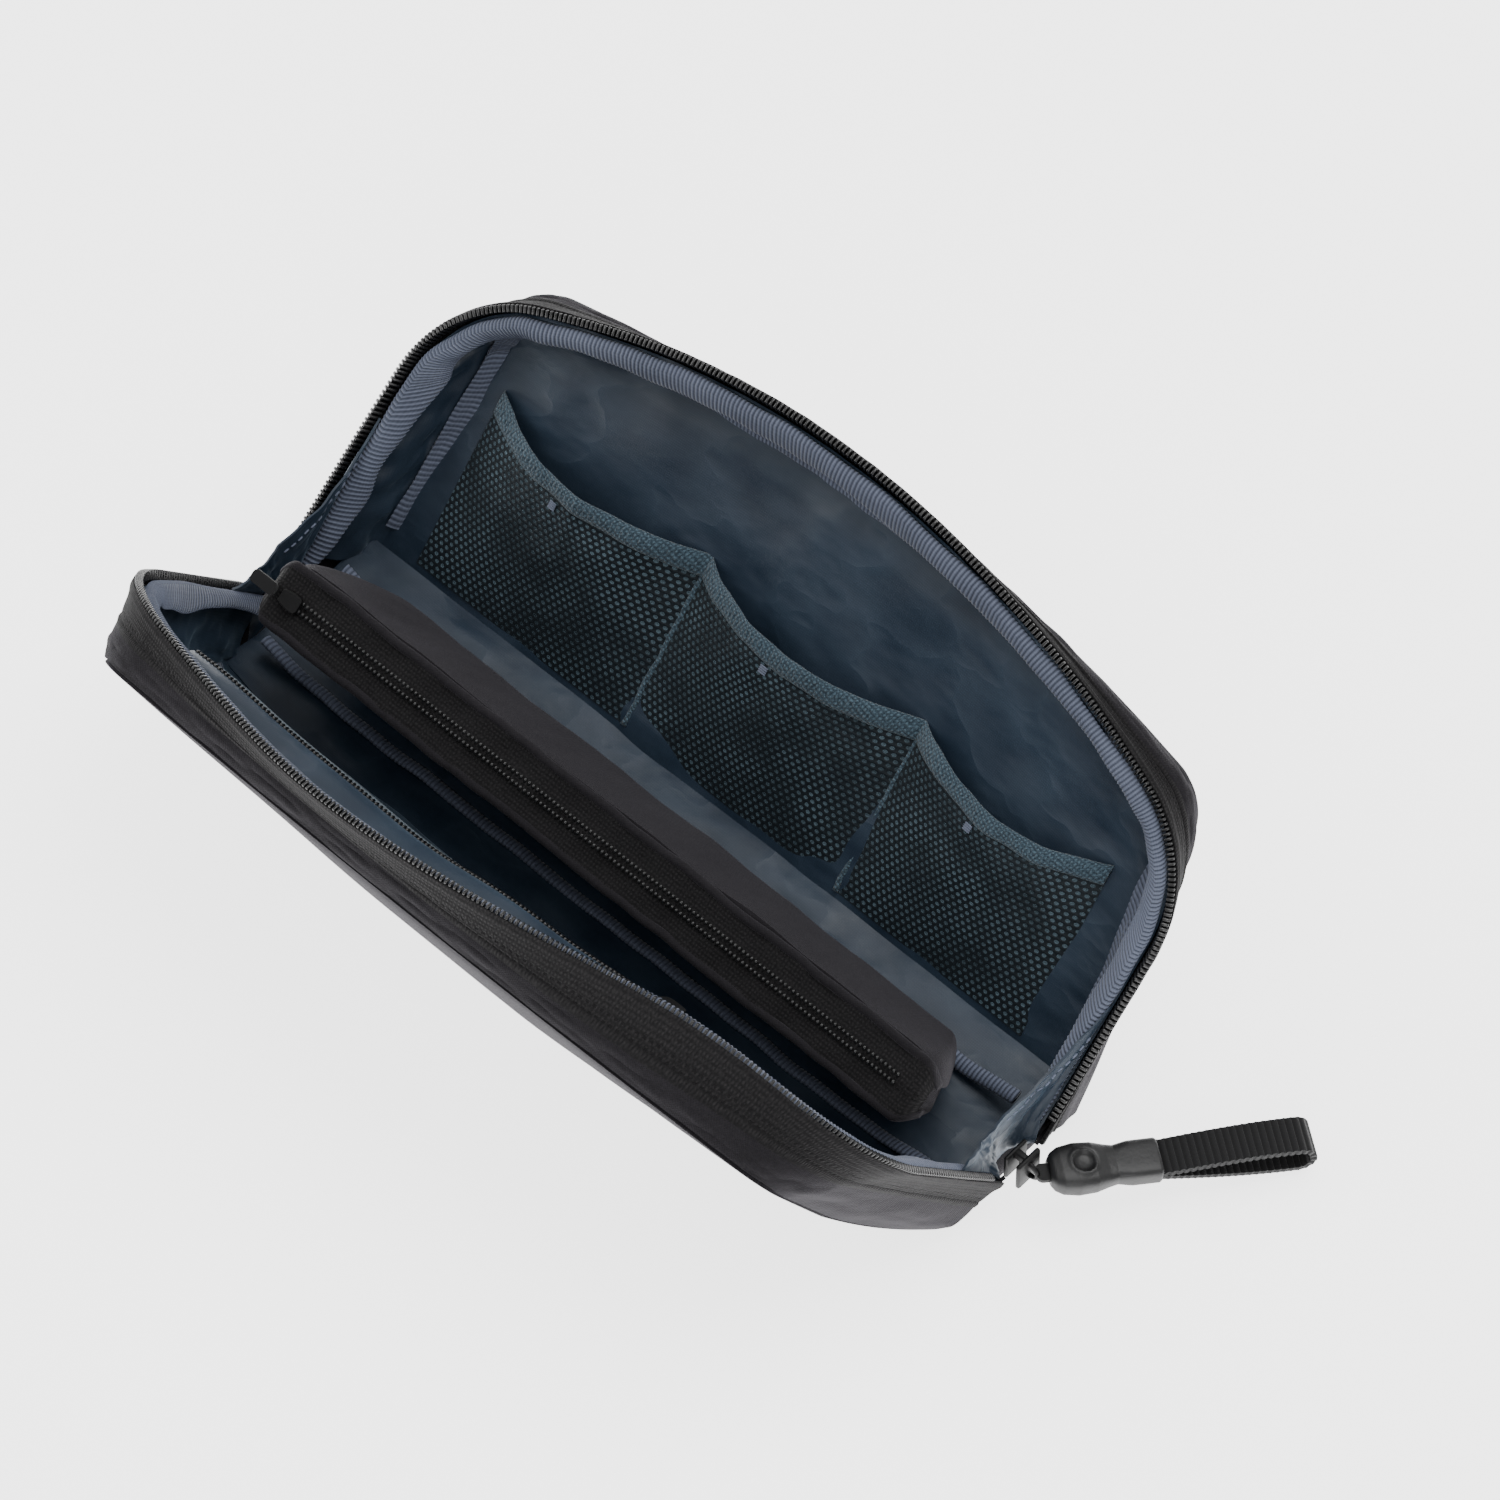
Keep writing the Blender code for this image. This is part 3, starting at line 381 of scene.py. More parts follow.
@dataclass(frozen=True)
class SatinLining:
    """Navy nylon lining, wrinkled, with a soft sheen on its folds: shader sheen, and a painted
    highlight, a lighter colour along the crests of the folds.
    """

    name: str = "navy_lining"
    dark: Colour = (0.0085, 0.0175, 0.0330)
    light: Colour = (0.0560, 0.0850, 0.1230)
    roughness: float = 0.42
    wrinkle_depth: float = 0.0012
    wrinkle_scale: float = 26.0
    thread: float = 0.0006
    stretch: tuple[float, float, float] = (1.0, 1.6, 1.0)

    def material(self) -> Any:
        """Returns: The material."""
        s = Shader(self.name)
        u, v, uv = s.cloth()
        bend = s.noise(uv, 18.0, 2.0)
        folds = s.noise(uv, self.wrinkle_scale, 3.0, 0.45, self.stretch)
        # ridge: 1 on the crests of the folds; in the colour it is a painted highlight of the
        # sheen, in the bump it raises the crests
        ridge = 1 - (folds - 0.5).math("ABSOLUTE") * 5.0
        ridge = ridge.math("MAXIMUM", 0.0).math("POWER", 2.0)
        small = s.noise(uv, 75.0, 2.0, 0.4, (1.0, 1.9, 1.0))
        thread = s.wave(u, self.thread) * s.wave(v, self.thread)
        # ridge * 0.16 paints the highlight on the fold crests; bend, small and thread vary the
        # tone at random and by the weave
        tone = ridge * 0.16 + bend * 0.42 + small * 0.34 + thread * 0.12 - 0.30
        s.set(Base_Color=s.mix(tone, self.dark, self.light),
              Roughness=small * 0.16 + self.roughness - 0.04,
              Sheen_Weight=0.22, Sheen_Roughness=0.35, Specular_IOR_Level=0.5)
        s.feed(s.surface.inputs["Sheen Tint"], (0.55, 0.75, 0.95, 1.0))
        height = folds * 1.5 + ridge * 0.30 + small * 0.35 + thread * 0.012
        s.bump(height, self.wrinkle_depth, 0.85)
        return s.material


@dataclass(frozen=True)
class NetMesh:
    """Knitted net with round holes in a staggered pattern, cut out of the cloth but left partly
    opaque, with a painted highlight in and round the holes that stands for lit lining behind the
    net and light on the hole edges.
    """

    name: str = "net_mesh"
    yarn: Colour = (0.0016, 0.0036, 0.0060)
    gloss: Colour = (0.0095, 0.0190, 0.0270)
    # rim: the pale colour of a painted highlight in and round the holes, standing for lit lining
    # seen through the net and light on the hole edges
    rim: Colour = (0.1150, 0.1750, 0.2150)
    pitch: float = 0.00235
    row: float = 0.00200
    hole: float = 0.29
    # veil: the holes stay this opaque, so that the painted highlight shows in them
    veil: float = 0.62
    bump_depth: float = 0.0003

    def material(self) -> Any:
        """Returns: The material."""
        s = Shader(self.name)
        u, v, uv = s.cloth()
        rows = v / self.row
        line = rows.math("FLOOR")
        shift = line.math("MODULO", 2.0).math("ABSOLUTE") * 0.5
        across = (u / self.pitch + shift).math("FRACT") - 0.5
        up = (rows - line) - 0.5
        wide = across * (self.pitch / self.row)
        reach = (wide * wide + up * up * 1.15).math("SQRT")
        solid = reach.ramp(self.hole - 0.05, self.hole + 0.03)
        knit = s.noise(uv, 2200.0, 2.0)
        # rim mask: 1 in the holes, fading just past their edges; glint breaks it up with noise and
        # places the painted highlight
        rim = 1 - reach.ramp(self.hole - 0.02, self.hole + 0.085)
        glint = rim * (s.noise(s.place(), 70.0, 2.0).ramp(0.30, 0.70) * 0.65 + 0.35)
        body = s.mix(knit * 0.8 + reach * 0.35 - 0.25, self.yarn, self.gloss)
        s.set(Base_Color=s.mix(glint, body, self.rim), Roughness=0.62,
              Alpha=solid * (1 - self.veil) + self.veil, Sheen_Weight=0.04,
              Specular_IOR_Level=0.3)
        s.bump(reach + knit * 0.3, self.bump_depth)
        return s.material


@dataclass(frozen=True)
class SpeckledElastic:
    """Folded elastic with light and dark yarns."""

    name: str = "teal_elastic"
    dark: Colour = (0.0120, 0.0260, 0.0400)
    light: Colour = (0.1150, 0.1900, 0.2450)
    pitch: float = 0.0012
    row: float = 0.0011
    bump_depth: float = 0.00022

    def material(self) -> Any:
        """Returns: The material."""
        s = Shader(self.name)
        u, v, uv = s.cloth()
        loops = s.wave(u + v * 0.6, self.pitch) * s.wave(v - u * 0.4, self.row)
        speckle = s.noise(uv, 1500.0, 3.0, 0.7).ramp(0.40, 0.66)
        tone = loops * 0.55 + speckle * 0.40
        s.set(Base_Color=s.mix(tone, self.dark, self.light), Roughness=0.8,
              Sheen_Weight=0.25, Specular_IOR_Level=0.3)
        s.bump(loops + speckle * 0.5, self.bump_depth)
        return s.material


@dataclass(frozen=True)
class RibbedWebbing:
    """Black polyester webbing, ribbed across."""

    name: str = "black_webbing"
    dark: Colour = (0.0016, 0.0016, 0.0018)
    light: Colour = (0.0135, 0.0135, 0.0148)
    pitch: float = WEBBING_PITCH
    bump_depth: float = 0.00022

    def material(self) -> Any:
        """Returns: The material."""
        s = Shader(self.name)
        u, _, uv = s.cloth()
        ribs = s.wave(u, self.pitch)
        thread = s.noise(uv, 1500.0, 2.0, 0.6, (1.0, 2.5, 1.0))
        s.set(Base_Color=s.mix(ribs * 0.5 + thread * 0.5 - 0.1, self.dark, self.light),
              Roughness=0.8, Sheen_Weight=0.15, Specular_IOR_Level=0.3)
        s.bump(ribs + thread * 0.35, self.bump_depth)
        return s.material


@dataclass(frozen=True)
class Moulded:
    """Moulded rubber, lacquered metal or nylon, with a fine grain and worn patches at random."""

    name: str
    colour: Colour
    worn: Colour
    roughness: float
    metallic: float = 0.0
    grain: float = 1600.0
    grain_depth: float = 0.00003
    specular: float = 0.5

    def material(self) -> Any:
        """Returns: The material."""
        s = Shader(self.name)
        at = s.place()
        grain = s.noise(at, self.grain, 2.0)
        patch = s.noise(at, 130.0, 3.0).ramp(0.35, 0.8)
        s.set(Base_Color=s.mix(patch * 0.6 + grain * 0.3 - 0.1, self.colour, self.worn),
              Roughness=patch * 0.12 + (self.roughness - 0.06), Metallic=self.metallic,
              Specular_IOR_Level=self.specular)
        s.bump(grain, self.grain_depth)
        return s.material


class Finish(Enum):
    """The finishes of the pouch, each with the record's slot that it stands for."""

    SHELL = "shell_fabric"
    TAPE = "zipper_tape"
    TEETH = "zipper_teeth"
    BINDING = "grosgrain_binding"
    LINING = "lining_fabric"
    FOAM = "foam"
    NET = "pocket_mesh"
    HEM = "hem_elastic"
    METAL = "slider_metal"
    RUBBER = "grip_rubber"
    WEBBING = "webbing"


class Wardrobe:
    """Makes each finish's material once and dresses pieces with it."""

    def __init__(self) -> None:
        """Build every material."""
        self.materials = {
            Finish.SHELL: WovenShell().material(),
            Finish.TAPE: RibTape().material(),
            Finish.TEETH: Moulded("nylon_teeth", (0.0060, 0.0060, 0.0065), (0.020, 0.020, 0.021),
                                  0.30, specular=0.7).material(),
            Finish.BINDING: Grosgrain().material(),
            Finish.LINING: SatinLining().material(),
            Finish.FOAM: Moulded("grey_foam", (0.30, 0.30, 0.30), (0.42, 0.42, 0.42), 0.95,
                                 grain_depth=0.0002).material(),
            Finish.NET: NetMesh().material(),
            Finish.HEM: SpeckledElastic().material(),
            Finish.METAL: Moulded("black_lacquer", (0.0035, 0.0035, 0.0038),
                                  (0.010, 0.010, 0.0105), 0.50, specular=0.25).material(),
            Finish.RUBBER: Moulded("moulded_rubber", (0.0085, 0.0086, 0.0092),
                                   (0.017, 0.017, 0.018), 0.46, grain=900.0,
                                   grain_depth=0.00006).material(),
            Finish.WEBBING: RibbedWebbing().material(),
        }

    def dress(self, piece: Any, finish: Finish) -> None:
        """Give a piece its material.

        Args:
            piece: The object.
            finish: Its finish.
        """
        piece.data.materials.clear()
        piece.data.materials.append(self.materials[finish])

    def fit(self, piece: Any, finish: Finish, body: str, nodes: Sequence[str]) -> None:
        """Dress a piece, let it ride on a body, hide the CAD nodes that it stands for and log its
        name.

        Args:
            piece: The object.
            finish: Its finish.
            body: The body it rides on, or "" when that is said elsewhere.
            nodes: CAD nodes that it stands for.
        """
        self.dress(piece, finish)
        if body:
            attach(piece, body)
        if nodes:
            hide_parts(*nodes)
        LOG.info("%s", piece.name)


# ---- mesh tools
def deselect() -> None:
    """Leave edit mode and select nothing."""
    if bpy.context.object and bpy.context.object.mode != "OBJECT":
        bpy.ops.object.mode_set(mode="OBJECT")
    bpy.ops.object.select_all(action="DESELECT")


def apply_modifiers(piece: Any) -> None:
    """Apply a piece's modifiers in order.

    Args:
        piece: The object.
    """
    deselect()
    bpy.context.view_layer.objects.active = piece
    piece.select_set(True)
    for modifier in list(piece.modifiers):
        bpy.ops.object.modifier_apply(modifier=modifier.name)


def settle(piece: Any) -> None:
    """Put a piece's place into its mesh, and shade it smooth.

    Args:
        piece: The object.
    """
    deselect()
    bpy.context.view_layer.objects.active = piece
    piece.select_set(True)
    bpy.ops.object.transform_apply(location=True, rotation=True, scale=True)
    bpy.ops.object.shade_smooth_by_angle(angle=math.radians(50))


def cloth_grid(name: str, columns: int, rows: int, place: Callable[[Array, Array], Array],
               size: tuple[float, float], thickness: float = 0.0, offset: float = -1.0,
               smooth: int = 0) -> Any:
    """A piece of cloth: a grid primitive whose points are moved onto a surface.

    Args:
        name: The piece's name.
        columns: Faces along u.
        rows: Faces along v.
        place: Gives the points in metres for u and v from 0 to 1.
        size: Length of the cloth along u and v, for its pattern.
        thickness: Thickness that Solidify gives it.
        offset: Side of the surface that the thickness grows to.
        smooth: Levels of subdivision.

    Returns:
        The object.
    """
    deselect()
    bpy.ops.mesh.primitive_grid_add(x_subdivisions=columns, y_subdivisions=rows, size=2.0)
    piece = bpy.context.object
    piece.name = name
    piece.data.name = name
    mesh = piece.data
    flat = np.empty(len(mesh.vertices) * 3)
    mesh.vertices.foreach_get("co", flat)
    flat = flat.reshape(-1, 3)
    u, v = (flat[:, 0] + 1) / 2, (flat[:, 1] + 1) / 2
    mesh.vertices.foreach_set("co", place(u, v).astype(np.float32).ravel())
    layer = mesh.uv_layers[0] if mesh.uv_layers else mesh.uv_layers.new()
    layer.name = "cloth"
    index = np.empty(len(mesh.loops), int)
    mesh.loops.foreach_get("vertex_index", index)
    coords = np.stack([u[index] * size[0], v[index] * size[1]], 1)
    layer.data.foreach_set("uv", coords.astype(np.float32).ravel())
    mesh.update()
    if smooth:
        soft = piece.modifiers.new("soften", "SUBSURF")
        soft.levels = soft.render_levels = smooth
    if thickness:
        wall = piece.modifiers.new("thickness", "SOLIDIFY")
        wall.thickness = thickness
        wall.offset = offset
    apply_modifiers(piece)
    settle(piece)
    return piece


def scatter(name: str, template: Any, frames: Sequence[tuple[Array, Array]]) -> Any:
    """Copies of a small piece in one mesh, and the template removed.

    Args:
        name: The new piece's name.
        template: The object that is repeated.
        frames: A 3x3 turn and a place for each copy.

    Returns:
        The object.
    """
    mesh = template.data
    points = np.empty(len(mesh.vertices) * 3)
    mesh.vertices.foreach_get("co", points)
    points = points.reshape(-1, 3)
    faces = [list(face.vertices) for face in mesh.polygons]
    all_points = np.concatenate([points @ turn.T + at for turn, at in frames])
    all_faces = [[i + k * len(points) for i in face] for k in range(len(frames)) for face in faces]
    made = bpy.data.meshes.new(name)
    made.from_pydata(all_points.tolist(), [], all_faces)
    made.update()
    piece = bpy.data.objects.new(name, made)
    bpy.context.scene.collection.objects.link(piece)
    bpy.data.objects.remove(template, do_unlink=True)
    settle(piece)
    return piece


def small_block(size: tuple[float, float, float], bevel: float, segments: int = 1) -> Any:
    """A rounded block at the origin.

    Args:
        size: Its sides in metres.
        bevel: Width of its rounded edges.
        segments: Segments of the bevel.

    Returns:
        The object.
    """
    deselect()
    bpy.ops.mesh.primitive_cube_add(size=1.0)
    piece = bpy.context.object
    piece.scale = size
    bpy.ops.object.transform_apply(location=False, rotation=False, scale=True)
    bpy.ops.object.mode_set(mode="EDIT")
    bpy.ops.mesh.select_all(action="SELECT")
    bpy.ops.mesh.bevel(offset=bevel, segments=segments, affect="EDGES")
    bpy.ops.object.mode_set(mode="OBJECT")
    return piece


def ripple(x: Array, y: Array, seed: float) -> Array:
    """A smooth irregular field between about -1 and 1, made of a few sines.

    Args:
        x: First coordinate, in waves.
        y: Second coordinate, in waves.
        seed: Shifts the field.

    Returns:
        The field.
    """
    total = np.zeros_like(x)
    for k in range(1, 6):
        turn = seed * 1.7 + k * 2.399
        a, b = math.cos(turn), math.sin(turn)
        total += np.sin(TURN * (x * a + y * b) * (0.6 + 0.45 * k) + seed * k) / k ** 0.8
    return total / 2.3


def arch(share: Array) -> Array:
    """0 at shares 0 and 1, and 1 in the middle."""
    return np.sin(math.pi * share)


def signed_power(value: Array, power: Array | float) -> Array:
    """Power of a number's size, with its sign kept."""
    return np.sign(value) * np.abs(value) ** power


def unit(vector: Array) -> Array:
    """A vector cut to a length of 1."""
    return vector / np.linalg.norm(vector)


def end_label(end: int) -> str:
    """Name of an end of the pouch: -1 is the left one, 1 the right one."""
    return "left" if end < 0 else "right"


def bump_curve(x: Array, centre: float, width: float) -> Array:
    """A bell of height 1.

    Args:
        x: Coordinates.
        centre: Where the bell stands.
        width: Its half width.

    Returns:
        The bell's height.
    """
    return np.exp(-((x - centre) / width) ** 2)


def bells(x: Array, terms: Sequence[tuple[float, float, float]]) -> Array:
    """Sum of bells.

    Args:
        x: Coordinates.
        terms: Height, centre and half width of each bell.

    Returns:
        The sum.
    """
    return sum(height * bump_curve(x, centre, width) for height, centre, width in terms)


# ---- the shape of a half
@dataclass
class Outline:
    """Arched outline of a half: straight legs, round shoulders and an arc over the top."""

    half_bottom: float
    half_corner: float
    start_z: float
    corner_z: float
    top_z: float
    radius: float

    def points(self) -> Array:
        """Points from the right foot to the left foot.

        Returns:
            Rows of x and z.
        """
        foot = np.array([self.half_bottom, self.start_z])
        up = unit(np.array([self.half_corner, self.corner_z]) - foot)
        inward = np.array([-up[1], up[0]])
        rise = self.top_z - self.corner_z
        big = (self.half_corner ** 2 + rise ** 2) / (2 * rise)
        hub = np.array([0.0, self.top_z - big])
        start = foot + inward * self.radius - hub
        along = float(start @ up)
        reach = big - self.radius
        travel = -along + math.sqrt(along ** 2 - (float(start @ start) - reach ** 2))
        centre = hub + start + up * travel
        leg_end = centre - inward * self.radius
        towards = centre - hub
        first = math.atan2(-inward[1], -inward[0])
        last = math.atan2(towards[1], towards[0])
        rows = [foot + (leg_end - foot) * k / LEG_POINTS for k in range(LEG_POINTS)]
        for k in range(SHOULDER_POINTS):
            angle = first + (last - first) * k / SHOULDER_POINTS
            rows.append(centre + self.radius * np.array([math.cos(angle), math.sin(angle)]))
        for k in range(TOP_POINTS + 1):
            angle = last + (math.pi / 2 - last) * k / TOP_POINTS
            rows.append(hub + big * np.array([math.cos(angle), math.sin(angle)]))
        right = np.array(rows)
        left = right[:-1][::-1] * np.array([-1.0, 1.0])
        return np.concatenate([right, left])


@dataclass
class HalfShape:
    """Closed drawing of a half: x along the pouch, depth from the mouth, z up."""

    mouth_half: float = 0.1300
    mouth_top: float = 0.1175
    mouth_crown: float = 0.0330
    shoulder: float = 0.0420
    foot_z: float = 0.0052
    zip_end_z: float = 0.0125
    taper_bottom: float = 0.0080
    taper_top: float = 0.0170
    face_drop: float = 0.0065
    face_crown: float = 0.0130
    face_corner: float = 0.0140
    face_bottom: float = 0.0125
    depth_bottom: float = 0.0280
    depth_top: float = 0.0155
    fold_y: float = 0.0155
    fold_z: float = 0.0030
    sway: float = 0.0056
    lift: float = 0.0036
    bow: float = 0.0112
    pinch: float = 0.60
    back_bow: float = 0.25
    pinch_from: float = 0.0960
    pinch_height: float = 0.0500
    stiff_rim: float = 0.0055
    sway_bells: tuple[tuple[float, float, float], ...] = (
        (1.0, -0.045, 0.055), (-0.35, -0.128, 0.020), (-1.30, 0.082, 0.045))
    lift_bells: tuple[tuple[float, float, float], ...] = (
        (1.0, -0.040, 0.070), (-1.0, 0.085, 0.050))

    def __post_init__(self) -> None:
        """Work out the two outlines and their length."""
        self.mouth = Outline(self.mouth_half, self.mouth_half, self.foot_z,
                             self.mouth_top - self.mouth_crown, self.mouth_top,
                             self.shoulder).points()
        self.face_top = self.mouth_top - self.face_drop
        self.face = Outline(self.mouth_half - self.taper_bottom,
                            self.mouth_half - self.taper_top, self.face_bottom,
                            self.face_top - self.face_crown, self.face_top,
                            self.face_corner).points()
        steps = np.linalg.norm(np.diff(self.mouth, axis=0), axis=1)
        self.station = np.concatenate([[0.0], np.cumsum(steps)])
        self.length = float(self.station[-1])
        self.station /= self.length
        self.zip_start = (self.zip_end_z - self.foot_z) / self.length

    def face_depth(self, z: Array) -> Array:
        """Depth of the outer face above a height.

        Args:
            z: Heights.

        Returns:
            Depths.
        """
        share = (z - self.face_bottom) / (self.face_top - self.face_bottom)
        return self.depth_bottom + (self.depth_top - self.depth_bottom) * share

    def at(self, outline: Array, t: Array) -> Array:
        """Points of an outline.

        Args:
            outline: The mouth's or the face's points.
            t: Shares of the mouth's length.

        Returns:
            Rows of x and z.
        """
        return np.stack([np.interp(t, self.station, outline[:, k]) for k in (0, 1)], 1)

    def full_depth(self, t: Array) -> Array:
        """Depth of the outer face along the mouth.

        Args:
            t: Shares of the mouth's length.

        Returns:
            Depths.
        """
        return self.face_depth(self.at(self.face, t)[:, 1])

    def wall(self, t: Array, depth: Array, inset: Array) -> Array:
        """Points of the side wall.

        Args:
            t: Shares of the mouth's length.
            depth: Depths from the mouth plane.
            inset: Distances inwards from the outer fabric.

        Returns:
            Rows of x, depth and z.
        """
        share = (depth / self.full_depth(t))[:, None]

        def on(s: Array) -> Array:
            """Places between mouth and face at the strip's depth."""
            first = self.at(self.mouth, s)
            return first + (self.at(self.face, s) - first) * share

        step = 0.002
        run = on(np.clip(t + step, 0, 1)) - on(np.clip(t - step, 0, 1))
        run /= np.linalg.norm(run, axis=1)[:, None]
        inward = np.stack([-run[:, 1], run[:, 0]], 1)
        moved = on(t) + inward * np.broadcast_to(inset, t.shape)[:, None]
        return np.stack([moved[:, 0], depth, moved[:, 1]], 1)

    def patch(self, u: Array, v: Array, margin: float) -> Array:
        """Points spread over the face: four soft sides, blended inwards.

        Args:
            u: Shares from the left side to the right side.
            v: Shares from the lower edge to the upper edge.
            margin: Distance inside the face's outline.

        Returns:
            Rows of x and z.
        """
        run = np.gradient(self.face, axis=0)
        run /= np.linalg.norm(run, axis=1)[:, None]
        outline = self.face + np.stack([-run[:, 1], run[:, 0]], 1) * margin
        apex = LEG_POINTS + SHOULDER_POINTS // 2
        right = outline[:apex + 1]
        left = right * np.array([-1.0, 1.0])
        top = outline[apex:len(outline) - apex][::-1]

        def along(line: Array, share: Array) -> Array:
            """Places at even shares of a line's length."""
            steps = np.linalg.norm(np.diff(line, axis=0), axis=1)
            station = np.concatenate([[0.0], np.cumsum(steps)])
            station /= station[-1]
            return np.stack([np.interp(share, station, line[:, k]) for k in (0, 1)], 1)

        across, up = u[:, None], v[:, None]
        edges = ((1 - up) * (left[0] + (right[0] - left[0]) * across) + up * along(top, u)
                 + (1 - across) * along(left, v) + across * along(right, v))
        corners = ((1 - across) * (1 - up) * left[0] + across * (1 - up) * right[0]
                   + (1 - across) * up * top[0] + across * up * top[-1])
        return edges - corners

    def bowed(self, side: str, u: Array, share: Array) -> Array:
        """How far the full lower part of a face stands out.

        Args:
            side: "front" or "back".
            u: Shares along the face.
            share: 1 at the face's lower edge, 0 where the bow ends.

        Returns:
            Distances along the depth.
        """
        size = self.bow if side == "front" else self.bow * self.back_bow
        return size * np.clip(arch(u), 0, 1) ** 0.75 * np.clip(share, 0, 1)

    def soften(self, points: Array, side: str) -> Array:
        """Let the soft fabric sway: both mouths follow one wavy line, so they still meet.

        Args:
            points: Rows of x, depth and z, closed.
            side: "front" or "back".

        Returns:
            The moved rows.
        """
        x, depth, z = points.T
        high = np.clip((z - self.foot_z) / (self.mouth_top - self.foot_z), 0, 1) ** 1.2
        wave = bells(x, self.sway_bells)
        sign = 1.0 if side == "front" else -1.0
        stiff_from = self.face_depth(np.clip(z, 0.0, self.face_top)) - self.stiff_rim
        loose = np.clip(1 - depth / stiff_from, 0, 1) ** 0.8
        depth = depth + sign * self.sway * wave * high * loose
        z = z + self.lift * bells(x, self.lift_bells) * high ** 2 * loose
        if side == "front":
            span = self.mouth_half - 0.006 - self.pinch_from
            end = np.clip((np.abs(x) - self.pinch_from) / span, 0, 1)
            low = np.clip(1 - (z - self.face_bottom) / self.pinch_height, 0, 1)
            end = end * end * (3 - 2 * end) * low
            depth = depth - self.pinch * end * np.clip(depth - self.fold_y, 0, None)
        return np.stack([x, depth, z], 1)


class Half:
    """One half of the pouch, in its open place."""

    def __init__(self, side: str, shape: HalfShape, wardrobe: Wardrobe) -> None:
        """Set up a half.

        Args:
            side: "front" or "back".
            shape: Its closed drawing.
            wardrobe: The finishes.
        """
        self.side = side
        self.shape = shape
        self.wardrobe = wardrobe
        self.body = f"{side}_half"
        self.sign = 1.0 if side == "back" else -1.0
        joint = next(j for j in frame["joints"] if j["name"] == f"{side}_half_fold")
        self.angle = math.radians(joint["range_deg"][1])

    def world(self, points: Array, sway: bool = True) -> Array:
        """Closed drawing to world.

        Args:
            points: Rows of x, depth and z.
            sway: Whether the soft sway is added.

        Returns:
            Rows of world x, y and z.
        """
        if sway:
            points = self.shape.soften(points, self.side)
        x, depth, z = points.T
        a, b = depth - self.shape.fold_y, z - self.shape.fold_z
        c, s = math.cos(self.angle), math.sin(self.angle)
        y = self.shape.fold_y + a * c + b * s
        return np.stack([x, self.sign * y, self.shape.fold_z - a * s + b * c], 1)

    def strip(self, name: str, finish: Finish, shallow: Callable[[Array], Array],
              deep: Callable[[Array], Array], inset: Callable[[Array, Array], Array],
              columns: int, rows: int, thickness: float, skip: float = 0.0) -> Any:
        """A strip of cloth round the mouth.

        Args:
            name: The piece's name after the side.
            finish: Its finish.
            shallow: Depth of its near edge along the mouth.
            deep: Depth of its far edge along the mouth.
            inset: Inset for places u and v on the strip.
            columns: Faces along the mouth.
            rows: Faces across.
            thickness: Its thickness, growing inwards.
            skip: Share of the mouth's length left out at both ends.

        Returns:
            The object.
        """
        shape = self.shape

        def place(u: Array, v: Array) -> Array:
            """The strip's surface."""
            t = skip + u * (1 - 2 * skip)
            depth = shallow(t) + (deep(t) - shallow(t)) * v
            return self.world(shape.wall(t, depth, inset(t, v)))

        sample = np.linspace(0, 1, 50)
        width = float(np.mean(deep(sample) - shallow(sample)))
        piece = cloth_grid(f"{self.side}_{name}", columns, rows, place,
                           (shape.length * (1 - 2 * skip), width), thickness,
                           -self.sign)
        self.add(piece, finish)
        return piece

    def add(self, piece: Any, finish: Finish, *nodes: str) -> None:
        """Fit a piece that rides on this half and stands for these CAD nodes."""
        self.wardrobe.fit(piece, finish, self.body, nodes)


@dataclass
class Layers:
    """How the layers of a half lie: depths and insets in metres."""

    tooth_radius: float = 0.0010
    mouth_gap: float = 0.0004
    tape_start: float = 0.0027
    tape_width: float = 0.0080
    tape_thickness: float = 0.0009
    fabric: float = 0.0012
    binding_inset: float = 0.0018
    binding_width: float = 0.0056
    lining_inset: float = 0.0024
    face_lining: float = 0.0040
    tooth_pitch: float = 0.00135
    board: float = 0.0020
    board_margin: float = 0.0085
    board_depth: float = 0.0013
    face_crown: float = 0.0018
    seam_radius: float = 0.00075
    binding_half_thickness: float = 0.00135
    rib_height: float = 0.00011


